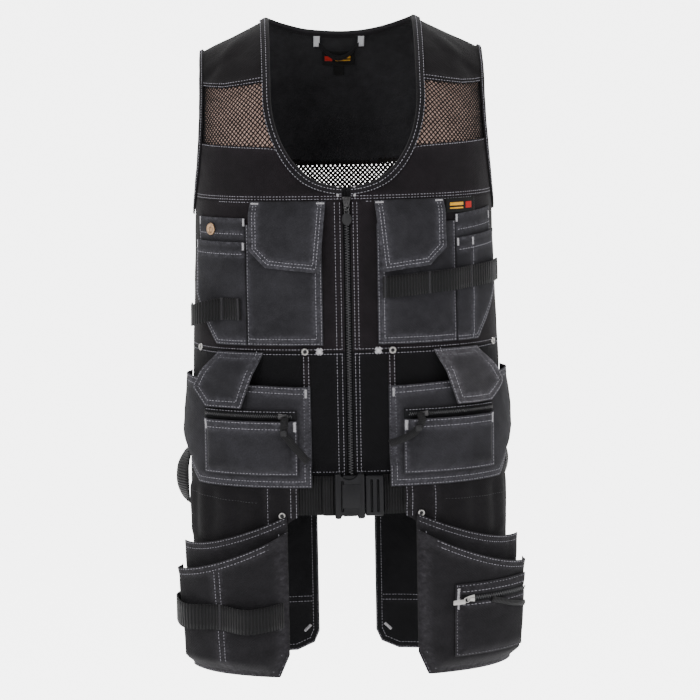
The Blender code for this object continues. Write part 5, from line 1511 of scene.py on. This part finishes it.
def make_zip_bag(side, tag):
    """A bag below a level zip, both on the face of the hip pocket."""
    start, end, top, foot = ZIP_BAG_INNER, ZIP_BAG_OUTER, ZIP_BAG_TOP, ZIP_BAG_BOTTOM
    bag = sheet(start, end, foot, top, 0.003)
    sides = [(start, top), (start, foot), (end, foot), (end, top)]

    def lift(s, v):
        away = distance_to(s, v, sides)
        tuck = 0.0016 * np.exp(-((away - 0.006) / 0.0025) ** 2)
        fullness = 0.86 + 0.14 * np.sin((s - start) * 46 + side) * np.sin((v - foot) * 60)
        rim = 0.0008 * np.exp(-((top - v) / 0.006) ** 2)
        return HIP_FACE + ZIP_BAG_LIFT * soft(away / ZIP_BAG_SIDE) * fullness - tuck + rim

    rows = level_rows(start + 0.002, end - 0.002, top - 0.0022, top - 0.0100)
    rows += rows_beside(sides, ROW_NEAR)
    tacks = upright_tacks((start + 0.003, end - 0.003), top - 0.002, top - 0.013, 0.0045)
    pocket_panel(f"zip_pocket_{tag}", bag, lift, side, rows=rows, tacks=tacks)
    low = top + 0.0004
    strip = sheet(start, end, low, low + ZIP_STRIP_HEIGHT, 0.003)
    rows = level_rows(start + 0.002, end - 0.002, low + ZIP_STRIP_HEIGHT - 0.0022)
    cloth(f"pocket_zip_{tag}", strip, HIP_FACE, ZIP_TAPE, "zip_tape", side, wall=0.0010, rows=rows)
    middle = low + 0.0055
    route = [(start + 0.006, middle), (end - 0.004, middle)]
    make_teeth(f"pocket_teeth_{tag}", route, HIP_FACE + 0.0010, 0.0013, 0.72, side)
    spot = 0.083 if side < 0 else 0.090
    at = seat(side * spot, middle, HIP_FACE + 0.0006) @ Matrix.Rotation(-side * math.pi / 2, 4, "Z")
    pull = ring(0.0026, 0.0009, Matrix.Translation((0, -0.0052, 0.0042)), 1.3)
    metal = join(slider_body(0.72), pull)
    fixed(f"pocket_slider_{tag}", metal, NICKEL, at)
    end_stop = block((0.0030, 0.0034, 0.0014), (0, 0, 0.0012), 0.0005, 2)
    at = seat(side * (end - 0.003), middle, HIP_FACE)
    fixed(f"pocket_stop_{tag}", end_stop, NICKEL, at)


def make_hip_flap(side, tag):
    top, low = WAIST_SEAM - 0.001, WAIST_SEAM - 0.071
    inner, outer = 0.108, 0.199
    flap = sheet(inner, outer, low, top, 0.003)
    outline = [
        (inner, top), (inner + 0.023, low), (outer - 0.021, low), (outer, low + 0.021),
        (outer, top - 0.044), (0.172, top),
    ]
    for start, end in zip(outline, outline[1:]):
        trim(flap, start, end)
    over = BODY_TOP + HIP_LIFT * HIP_SWELL + 2 * POCKET_CLOTH + 2 * LAYER_GAP + 0.0004

    def lift(s, v):
        free = soft((top - 0.025 - v) / 0.04)
        curl = 0.0020 * free * np.sin(s * 80 + (0.6 if side < 0 else 2.0)) ** 2
        return BODY_TOP + (over - BODY_TOP) * soft((top - v) / 0.030) + curl

    rows = rows_beside(outline, ROW_NEAR, ROW_FAR)
    rows += level_rows(inner + 0.003, 0.170, top - 0.002, top - 0.008)
    finish = WORN_POCKET if side > 0 else POCKET
    cloth(f"hip_flap_{tag}", flap, lift, finish, "pocket_cloth", side, seams=[outline], rows=rows)


# Arc and height of each ribbon's points, from its slider on
RIBBONS = {
    "left": ((0.0790, -0.493), (0.0785, -0.503), (0.0795, -0.512), (0.0740, -0.520),
             (0.0670, -0.530), (0.0590, -0.540), (0.0520, -0.548)),
    "right": ((0.0840, -0.491), (0.0845, -0.500), (0.0800, -0.509), (0.0740, -0.515),
              (0.0650, -0.520), (0.0550, -0.524), (0.0460, -0.527)),
}


def ribbon(name, route, width, wall, finish, side, nodes=()):
    """A tape along points (arc, height, lift), its width square to the route."""
    line, run = smooth_route(route)
    ahead = np.gradient(line[:, :2], axis=0)
    ahead /= np.linalg.norm(ahead, axis=1, keepdims=True)
    across = np.stack([-ahead[:, 1], ahead[:, 0]], axis=1)
    bm, a, b = grid(len(line) - 1, 2)
    column = np.rint(a * (len(line) - 1)).astype(int)
    off = (b - 0.5) * width
    spot = line[column, :2] + across[column] * off[:, None]
    lift = line[column, 2] + 0.0006 * np.cos(np.pi * (b - 0.5) * 2)
    lay_tape(bm, worn(side * spot[:, 0], spot[:, 1], lift), zip(run[column], off))
    thicken(mesh_object(name, bm, finish, nodes), wall, 0.0)


def make_ribbons():
    face = HIP_FACE + POCKET_CLOTH + ZIP_BAG_LIFT + 0.0012
    for side, tag in SIDES:
        route = RIBBONS[tag]
        lifts = np.full(len(route), face)
        lifts[0] -= 0.004
        points = [(s, v, lift) for (s, v), lift in zip(route, lifts)]
        nodes = [f"ribbon_{tag}"]
        ribbon(f"ribbon_{tag}_tape", points, 0.009, 0.0012, RIBBON, side, nodes)
        s, v = route[2]
        knot = block((0.0088, 0.0078, 0.0050), (0, 0, 0.001), 0.0022, 3)
        fixed(f"ribbon_{tag}_knot", knot, RUBBER, seat(side * s, v, face))


# Belt and buckle

BELT_WIDTH = 0.050
BELT_TOP = -0.5695
BELT_MIDDLE = BELT_TOP - BELT_WIDTH / 2
BUCKLE_MIDDLE = 0.0165
SOCKET_LENGTH = 0.038
PRONG_LENGTH = 0.024


def make_belt():
    """Webbing all round; both ends turn into the buckle's two halves."""
    half = float(quarter_arc(BELT_TOP) + quarter_arc(BELT_TOP, True))
    right = np.linspace(BUCKLE_MIDDLE + PRONG_LENGTH - 0.0076, half, 90)
    left = np.linspace(-half + 0.006, BUCKLE_MIDDLE - SOCKET_LENGTH + 0.0076, 90)
    ring_arcs = np.concatenate([right, left])
    path = [(s, BELT_MIDDLE, BODY_TOP + WEBBING / 2) for s in ring_arcs]
    strap("belt", path, BELT_WIDTH, WEBBING, WEB, steps=1)
    keeper = (
        (-0.0345, 0.0), (-0.0340, 0.002), (-0.0300, 0.0036), (-0.0250, 0.0036), (-0.0215, 0.0030),
    )
    path = [(s, BELT_MIDDLE, BODY_TOP + WEBBING * 1.5 + 0.0006 + rise) for s, rise in keeper]
    strap(None, path, BELT_WIDTH, WEBBING, WEB, name="belt_fold")
    for start, tag in ((0.0215, "right"), (-0.0185, "left")):
        arcs = np.linspace(start, start + 0.016, 5)
        path = [(s, BELT_MIDDLE, CLOTH + 0.0034) for s in arcs]
        strap(None, path, 0.042, WEBBING * 0.8, WEB, name=f"belt_turn_{tag}")


def plate_with(size, middle, round_off, cuts):
    """A rounded plate with closed shapes cut out of it."""
    plate = linked("plate", mesh_from("plate", block(size, middle, round_off, 3)))
    tools = [linked("cut", mesh_from("cut", cutter)) for cutter in cuts]
    for tool in tools:
        change = plate.modifiers.new("cut", "BOOLEAN")
        change.operation = "DIFFERENCE"
        change.object = tool
        change.solver = "EXACT"
    graph = bpy.context.evaluated_depsgraph_get()
    bm = bmesh.new()
    bm.from_mesh(plate.evaluated_get(graph).to_mesh())
    for helper in [*tools, plate]:
        bpy.data.objects.remove(helper)
    return bm


def round_cut(radius, x, y, depth, stretch=1.0):
    bm = bmesh.new()
    bmesh.ops.create_cone(bm, cap_ends=True, segments=32, radius1=radius, radius2=radius, depth=depth)
    bmesh.ops.scale(bm, verts=bm.verts, vec=(1, stretch, 1))
    bmesh.ops.translate(bm, verts=bm.verts, vec=(x, y, 0.006))
    return bm


def make_buckle():
    """A fastened side-release buckle: the socket with its two thumb notches, and the prongs."""
    at = seat(BUCKLE_MIDDLE, BELT_MIDDLE, CLOTH + 0.0004)
    length, width, height = SOCKET_LENGTH, 0.058, 0.012
    cuts = [
        round_cut(0.0115, -length * 0.52, spot * (width / 2 + 0.0015), 0.03, 0.85)
        for spot in (-1, 1)
    ]
    slot = -length + 0.0095
    cuts.append(block((0.0035, 0.040, 0.03), (slot, 0, 0.006), 0.001))
    socket = plate_with((length, width, height), (-length / 2, 0, height / 2), 0.0028, cuts)
    face = block((length * 0.60, 0.030, 0.0012), (-length * 0.45, 0, height + 0.0002), 0.0005, 2)
    arms = [
        block((0.019, 0.0075, 0.0062), (-length * 0.50, spot * 0.0225, 0.006), 0.0022, 3)
        for spot in (-1, 1)
    ]
    web = block((0.0030, 0.050, 0.0035), (slot, 0, 0.0085), 0.0012, 2)
    shell = join(socket, face, web)
    fixed("buckle_socket_shell", shell, PLASTIC, at, ["buckle_socket"], 35)
    slots = (0.0085, 0.0165)
    cuts = [block((0.0030, 0.042, 0.03), (x, 0, 0.006), 0.0008) for x in slots]
    size, middle = (PRONG_LENGTH - 0.0004, 0.052, 0.0102), (PRONG_LENGTH / 2, 0, 0.0051)
    prong = plate_with(size, middle, 0.0026, cuts)
    bars = [block((0.0020, 0.045, 0.0030), (x, 0, 0.0068), 0.0009, 2) for x in slots]
    shell = join(prong, *arms, *bars)
    fixed("buckle_prong_shell", shell, PLASTIC, at, ["buckle_prong"], 35)


# Tails

TAIL_TAB_INNER = 0.067
TAIL_INNER = 0.081
TAIL_OUTER = 0.236
TAIL_TOP = -0.5710
TAIL_BOTTOM = -0.827
TAIL_CHAMFER = [(TAIL_INNER, TAIL_BOTTOM + 0.028), (TAIL_INNER + 0.012, TAIL_BOTTOM)]
POUCH_OUTER = 0.232
POUCH_TOP_INNER = -0.620
POUCH_TOP_DROP = 0.043
NAIL_TOP_INNER = -0.640
NAIL_TOP_DROP = 0.054
POUCH_LIFT = 0.010
NAIL_LIFT = 0.029
NAIL_SIDE = 0.024
BAG_FOOT_SHARE = 0.72


def tail_inner(v):
    below = BELT_TOP - BELT_WIDTH - v
    return TAIL_TAB_INNER + (TAIL_INNER - TAIL_TAB_INNER) * soft(below / 0.012)


def slanted(start, drop):
    """A mouth that falls from the inner edge towards the side."""
    reach = POUCH_OUTER - TAIL_INNER
    return lambda s: start - drop * np.sin(0.5 * np.pi * (s - TAIL_INNER) / reach)


def bag_lift(top, rise, seat_lift, lip, seed, flare):
    """A deep pocket layer: full at its mouth, less at its foot, its outer corner gaping."""
    sides = [(TAIL_INNER, float(top(TAIL_INNER))), *TAIL_CHAMFER, (POUCH_OUTER, TAIL_BOTTOM),
             (POUCH_OUTER, float(top(POUCH_OUTER)))]

    def lift(s, v):
        share = np.clip((v - TAIL_BOTTOM) / (top(s) - TAIL_BOTTOM), 0, 1)
        full = rise * (BAG_FOOT_SHARE + (1 - BAG_FOOT_SHARE) * share)
        rim = lip * np.exp(-((top(s) - v) / 0.007) ** 2)
        ruck = np.abs(crease(s, v, seed, 0.05, 0.0009))
        inside = soft(distance_to(s, v, sides) / NAIL_SIDE)
        gape = flare * soft((s - 0.165) / 0.05) * soft((share - 0.25) / 0.65)
        return seat_lift + (full - ruck) * inside + gape * (1 - inside) + rim

    return lift, sides


def make_front_tail(side, tag):
    """A tail with its two bags. Returns the lift of the outer one, for what is sewn on it."""
    tail = sheet(tail_inner, TAIL_OUTER, TAIL_BOTTOM, TAIL_TOP)
    trim(tail, *TAIL_CHAMFER)
    tab, belt_foot = TAIL_TAB_INNER, BELT_TOP - BELT_WIDTH
    rows = upright_rows(TAIL_TOP - 0.002, belt_foot - 0.004, tab + 0.002, tab + 0.009)
    edges = (TAIL_INNER + ROW_NEAR, TAIL_INNER + ROW_FAR)
    rows += upright_rows(belt_foot - 0.012, TAIL_BOTTOM + 0.025, *edges)
    rows += upright_rows(TAIL_TOP - 0.002, NAIL_TOP_INNER, TAIL_INNER + 0.024)
    layer = CLOTH + LAYER_GAP
    pouch_top = slanted(POUCH_TOP_INNER, POUCH_TOP_DROP)

    def folded(s, v):
        shown = soft((HIP_BOTTOM - v) / 0.012) * soft((v - pouch_top(s)) / 0.016)
        return TAIL_LIFT + 0.0030 * shown * np.abs(np.sin(s * 88 + side + 4 * v)) ** 1.5

    cloth(f"tail_{tag}", tail, folded, TAIL_TOP_CLOTH, "tail_cloth", side, rows=rows)
    seam = [[(0.118, -0.604), (0.232, -0.598 - 0.010 * (side > 0))]]
    sew(f"tail_seam_{tag}", seam, (), lambda s, v: folded(s, v) + CLOTH, side, False, DARK_THREAD)
    gape = 0.010 if side < 0 else 0.013
    lift, _ = bag_lift(pouch_top, POUCH_LIFT, TAIL_LIFT + layer, 0.0006, 41 + side, gape)
    pouch = sheet(TAIL_INNER, POUCH_OUTER, TAIL_BOTTOM, pouch_top, 0.0045)
    trim(pouch, *TAIL_CHAMFER)
    tail_bag(f"tool_pouch_{tag}", pouch, lift, side, rows=mouth_rows(pouch_top))
    top = slanted(NAIL_TOP_INNER, NAIL_TOP_DROP)
    gape += 0.001 if side < 0 else 0.004
    lift, sides = bag_lift(top, NAIL_LIFT, TAIL_LIFT + 2 * layer, 0.0014, 51 + side, gape)
    bag = sheet(TAIL_INNER, POUCH_OUTER, TAIL_BOTTOM, top, 0.004)
    trim(bag, *TAIL_CHAMFER)
    rows = mouth_rows(top) + rows_beside(sides, ROW_NEAR, ROW_FAR)
    if side < 0:
        high = float(top(0.154)) - 0.012
        rows += [[(0.154 + x, high), (0.151 + x, TAIL_BOTTOM + 0.004)] for x in (0, 0.006)]
    tail_bag(f"nail_pocket_{tag}", bag, lift, side, rows=rows)
    return lift


def mouth_rows(top):
    """Two rows below the curved mouth of a bag."""
    arcs = np.linspace(TAIL_INNER + 0.002, POUCH_OUTER - 0.002, 24)
    return [[(s, float(top(s)) - down) for s in arcs] for down in (0.0020, 0.0085)]


def make_nail_loops(face):
    """Webbing on the left nail pocket, sewn down at both ends and in the middle."""
    middle, height = -0.744, 0.032
    start, end = TAIL_INNER + 0.004, POUCH_OUTER - 0.006
    path = []
    for t in even(32):
        s = start + (end - start) * t
        hump = math.sin(math.pi * ((2 * t) % 1.0)) ** 2
        beside = s + np.array([-0.006, 0, 0.006])
        seat_lift = float(face(beside, np.full(3, middle)).max()) + POCKET_CLOTH + 0.0006
        sag = 0.004 * math.sin(math.pi * t) + 0.003 * hump
        path.append((s, middle - sag, seat_lift + WEBBING / 2 + hump * 0.010))
    spots = [start + (end - start) * t for t in (0.02, 0.49, 0.98)]
    tacks = bar_tacks(spots, lambda s: middle - 0.003, height)
    strap("nail_loops", path, height, WEBBING, WEB, -1, tacks=tacks)


def make_nail_zip(face):
    """A zip pocket on the right nail pocket, with its slider and a ribbon pull."""
    inner, outer, top, foot = 0.117, 0.210, -0.709, -0.802
    bag = sheet(inner, outer, foot, top, 0.003)
    sides = [(inner, top), (inner, foot), (outer, foot), (outer, top), (inner, top)]
    slot = -0.7265

    def lift(s, v):
        swell = 0.006 * soft(distance_to(s, v, sides) / 0.012)
        groove = 0.0022 * np.exp(-((v - slot) / 0.0042) ** 2) * soft((s - inner) / 0.01)
        return face(s, v) + POCKET_CLOTH + 0.0014 + swell - groove

    heights = (top - 0.0022, slot + 0.0085, slot - 0.0085)
    rows = rows_beside(sides[:4], ROW_NEAR) + level_rows(inner + 0.002, outer - 0.002, *heights)
    tacks = upright_tacks([inner + 0.003], slot + 0.012, slot - 0.014, 0.005)
    tail_bag("nail_zip_pocket", bag, lift, 1, rows=rows, tacks=tacks)
    at_lift = float(lift(np.array([0.16]), np.array([slot]))[0]) + POCKET_CLOTH
    strip = sheet(inner + 0.006, outer - 0.004, slot - 0.0050, slot + 0.0050, 0.003)
    cloth(
        None, strip, lambda s, v: lift(s, v) + POCKET_CLOTH + 0.0002, ZIP_TAPE, "zip_tape", 1,
        wall=0.0006, name="nail_zip_tape_cloth",
    )
    route = [(inner + 0.008, slot), (outer - 0.006, slot)]
    make_teeth("nail_zip_teeth", route, at_lift + 0.0010, 0.0014, 0.85)
    at = seat(0.131, slot, at_lift + 0.0006) @ Matrix.Rotation(-math.pi / 2, 4, "Z")
    pull = [
        slider_body(0.85),
        ring(0.0030, 0.0011, Matrix.Translation((0.001, -0.0068, 0.0052)), 1.5),
        block((0.0060, 0.0170, 0.0012), (0.003, -0.0180, 0.0052), 0.0005, 2),
    ]
    fixed("nail_zip_slider", join(*pull), STEEL, at)
    route = []
    for s, v in ((0.155, -0.731), (0.166, -0.735), (0.178, -0.740), (0.192, -0.744), (0.204, -0.747)):
        here = float(lift(np.array([s]), np.array([v]))[0])
        route.append((s, v, here + POCKET_CLOTH + 0.0022))
    ribbon("nail_ribbon_tape", route, 0.007, 0.0012, RIBBON, 1)


def make_back_tails():
    """The back tails, with their stitches on both faces, since the inner one shows."""
    inner, outer, top, bottom = 0.038, 0.230, -0.571, -VEST_LENGTH

    def lift(s, v):
        return TAIL_LIFT + np.abs(crease(s, v, 61, 0.12, 0.0012)) * soft((-0.63 - v) / 0.1)

    corner = [(inner, bottom + 0.026), (inner + 0.007, bottom + 0.010), (inner + 0.030, bottom)]
    rows = rows_beside([(inner, top), *corner, (outer, bottom), (outer, top)], ROW_NEAR, ROW_FAR)
    rows += level_rows(inner + 0.009, 0.222, -0.778, -0.785)
    tacks = [
        ((0.100, -0.6215), (0.112, -0.6215), 0.004),
        ((inner + 0.012, bottom + 0.034), (inner + 0.020, bottom + 0.026), 0.004),
    ]
    for side, tag in ((1, "left"), (-1, "right")):
        tail = sheet(inner, outer, bottom, top, 0.0055)
        for start, end in zip(corner, corner[1:]):
            trim(tail, start, end)
        name = f"back_tail_{tag}"
        cloth(name, tail, lift, BACK_TAIL, "back_tail_cloth", side, True, rows=rows, tacks=tacks)
        sew(f"{name}_inside", rows, tacks, lambda s, v: lift(s, v) - 0.0002, side, True)


# Small straps


def make_small_straps():
    inside = -LAYER_GAP - 0.0007
    path = []
    for t in even(14):
        s = 0.029 * (2 * t - 1)
        bow = math.sin(math.pi * t)
        path.append((s, -0.022 - 0.030 * bow**0.8, inside - 0.006 * bow))
    strap("hanger_loop", path, 0.008, 0.0014, RIBBON, back=True)
    for spot in (-1, 1):
        tab = sheet(-0.0040, 0.0040, -0.034, -0.010, 0.002)
        for vert in tab.verts:
            vert.co.x += spot * 0.029
        tab_side = "left" if spot > 0 else "right"
        cloth(
            None, tab, inside - 0.0016, SILVER_TAPE, "strap_cloth", back=True, wall=0.0008,
            name=f"hanger_tab_{tab_side}_cloth",
        )
    label = sheet(-0.0215, 0.0215, -0.069, -0.045, 0.002)
    cloth("neck_label", label, -LAYER_GAP - 0.0009, LABEL, "label_cloth", back=True, wall=0.0009)
    make_motif("neck", -0.0215, -0.0655, -LAYER_GAP - 0.0012, True)
    tag = sheet(-0.007, 0.007, -0.084, -0.0695, 0.002)
    cloth(
        None, tag, -LAYER_GAP - 0.0009, LABEL, "label_cloth", back=True, wall=0.0006,
        name="size_tag_cloth",
    )
    path = []
    for t in even(16):
        sewn = BODY_TOP + (TAIL_LIFT - BODY_TOP) * float(soft(3 * t)) + 0.0007
        bow = math.sin(math.pi * t)
        path.append((0.268 - 0.016 * bow, -0.548 - 0.074 * t, sewn + 0.011 * bow**0.6))
    tacks = [((0.257, v), (0.279, v), 0.003) for v in (-0.552, -0.617)]
    # The hammer loop and the strap end below take the darker webbing of painted shade
    strap(
        "hammer_loop", path, 0.025, 0.0018, SIDE_STRAP_PAINTED_SHADE, -1, level=False,
        tacks=tacks, twist=0.5,
    )
    path = []
    for t in even(8):
        lift = BODY_TOP + HIP_LIFT * 0.45 * math.sin(math.pi * t)
        path.append((0.268, -0.549 - 0.048 * t, lift))
    strap(
        None, path, 0.020, 0.0018, SIDE_STRAP_PAINTED_SHADE, 1, level=False,
        name="side_strap_end", twist=0.25,
    )


# How bright the floor looks by its own glow, and by the light on it
FLOOR_GLOW = 3.2
FLOOR_LIT = 2.2
FLOOR_REACH = 600
FLOOR_HEIGHT = -1.45
LIGHT_AIM = -0.42
CEILING_POWER = 4.6
# Columns: name, place, watts, size
LIGHTS = (
    ("key", (-1.6, -2.6, 1.3), 60, 1.3),
    ("fill", (2.2, -2.2, 0.5), 25, 1.6),
    ("rim", (0.0, 2.6, 1.4), 35, 1.8),
)


def set_stage():
    """A plain pale floor far below the hung vest, and soft light all round."""
    bm = bmesh.new()
    bmesh.ops.create_grid(bm, x_segments=1, y_segments=1, size=FLOOR_REACH)
    bmesh.ops.translate(bm, verts=bm.verts, vec=(0, 0, FLOOR_HEIGHT))
    mesh = mesh_from("floor", bm)
    finish, tree, shader = shader_of("floor_white", (0.93, 0.93, 0.93), 0.9)
    seen = add_node(tree, "ShaderNodeLightPath").outputs["Is Camera Ray"]
    shader.inputs["Emission Color"].default_value = (1.0, 1.0, 1.0, 1.0)
    glow = math_node(tree, "MULTIPLY", seen, FLOOR_GLOW)
    tree.links.new(glow, shader.inputs["Emission Strength"])
    mesh.materials.append(finish)
    linked("floor", mesh)
    world = bpy.data.worlds.new("studio")
    world.use_nodes = True
    tree = world.node_tree
    tree.nodes["Background"].inputs["Color"].default_value = (1.0, 1.0, 1.0, 1.0)
    seen = add_node(tree, "ShaderNodeLightPath").outputs["Is Camera Ray"]
    strength = math_node(tree, "MULTIPLY_ADD", seen, FLOOR_GLOW + FLOOR_LIT - 1.0, 1.0)
    tree.links.new(strength, tree.nodes["Background"].inputs["Strength"])
    bpy.context.scene.world = world
    for name, spot, power, size in LIGHTS:
        data = bpy.data.lights.new(name, "AREA")
        data.energy = power
        data.size = size
        lamp = linked(name, data)
        lamp.location = spot
        aim = Vector((0, 0, LIGHT_AIM)) - Vector(spot)
        lamp.rotation_euler = aim.to_track_quat("-Z", "Y").to_euler()
    ceiling = bpy.data.lights.new("ceiling", "SUN")
    ceiling.energy = CEILING_POWER
    ceiling.angle = math.radians(30)
    linked("ceiling", ceiling).rotation_euler = (math.radians(-14), 0, 0)


CAMERA_TURN = math.radians(1.64)
CAMERA_RISE = math.radians(7.0)
CAMERA_ROLL = math.radians(1.04)
CAMERA_DISTANCE = 4.0
CAMERA_AIM = -0.430
SENSOR = 36.0
# The picture's side, and where its middle lies, in pixels of PIXEL metres
PICTURE = 700
PIXEL = 0.0013
MIDDLE_COLUMN = 345.8
MIDDLE_ROW = 352


def set_camera():
    data = bpy.data.cameras.new("camera")
    data.sensor_width = SENSOR
    data.lens = SENSOR * CAMERA_DISTANCE / PIXEL / PICTURE
    data.shift_x = (PICTURE / 2 - MIDDLE_COLUMN) / PICTURE
    data.shift_y = (MIDDLE_ROW - PICTURE / 2) / PICTURE
    camera = linked("camera", data)
    ahead = Vector((
        math.sin(CAMERA_TURN) * math.cos(CAMERA_RISE),
        math.cos(CAMERA_TURN) * math.cos(CAMERA_RISE),
        -math.sin(CAMERA_RISE),
    ))
    right = Vector((math.cos(CAMERA_TURN), -math.sin(CAMERA_TURN), 0))
    turned = Matrix((right, right.cross(ahead), -ahead)).transposed().to_4x4()
    spot = Vector((0, 0, CAMERA_AIM)) - ahead * CAMERA_DISTANCE
    roll = Matrix.Rotation(-CAMERA_ROLL, 4, "Z")
    camera.matrix_world = Matrix.Translation(spot) @ turned @ roll
    bpy.context.scene.camera = camera


for front_side, front_tag in SIDES:
    for make in (
        make_shoulder, make_front_net, make_front_yoke, make_front_panels, make_chest_flap,
        make_chest_pocket, make_tool_pockets, make_hip_pocket, make_zip_bag, make_hip_flap,
    ):
        make(front_side, front_tag)
    nail_face = make_front_tail(front_side, front_tag)
    if front_side < 0:
        make_nail_loops(nail_face)
    else:
        make_nail_zip(nail_face)
make_back()
make_back_tails()
make_bindings()
make_front_zip()
make_tool_loops()
make_button()
make_front_label()
make_rivets()
make_ribbons()
make_belt()
make_buckle()
make_small_straps()
set_stage()
set_camera()
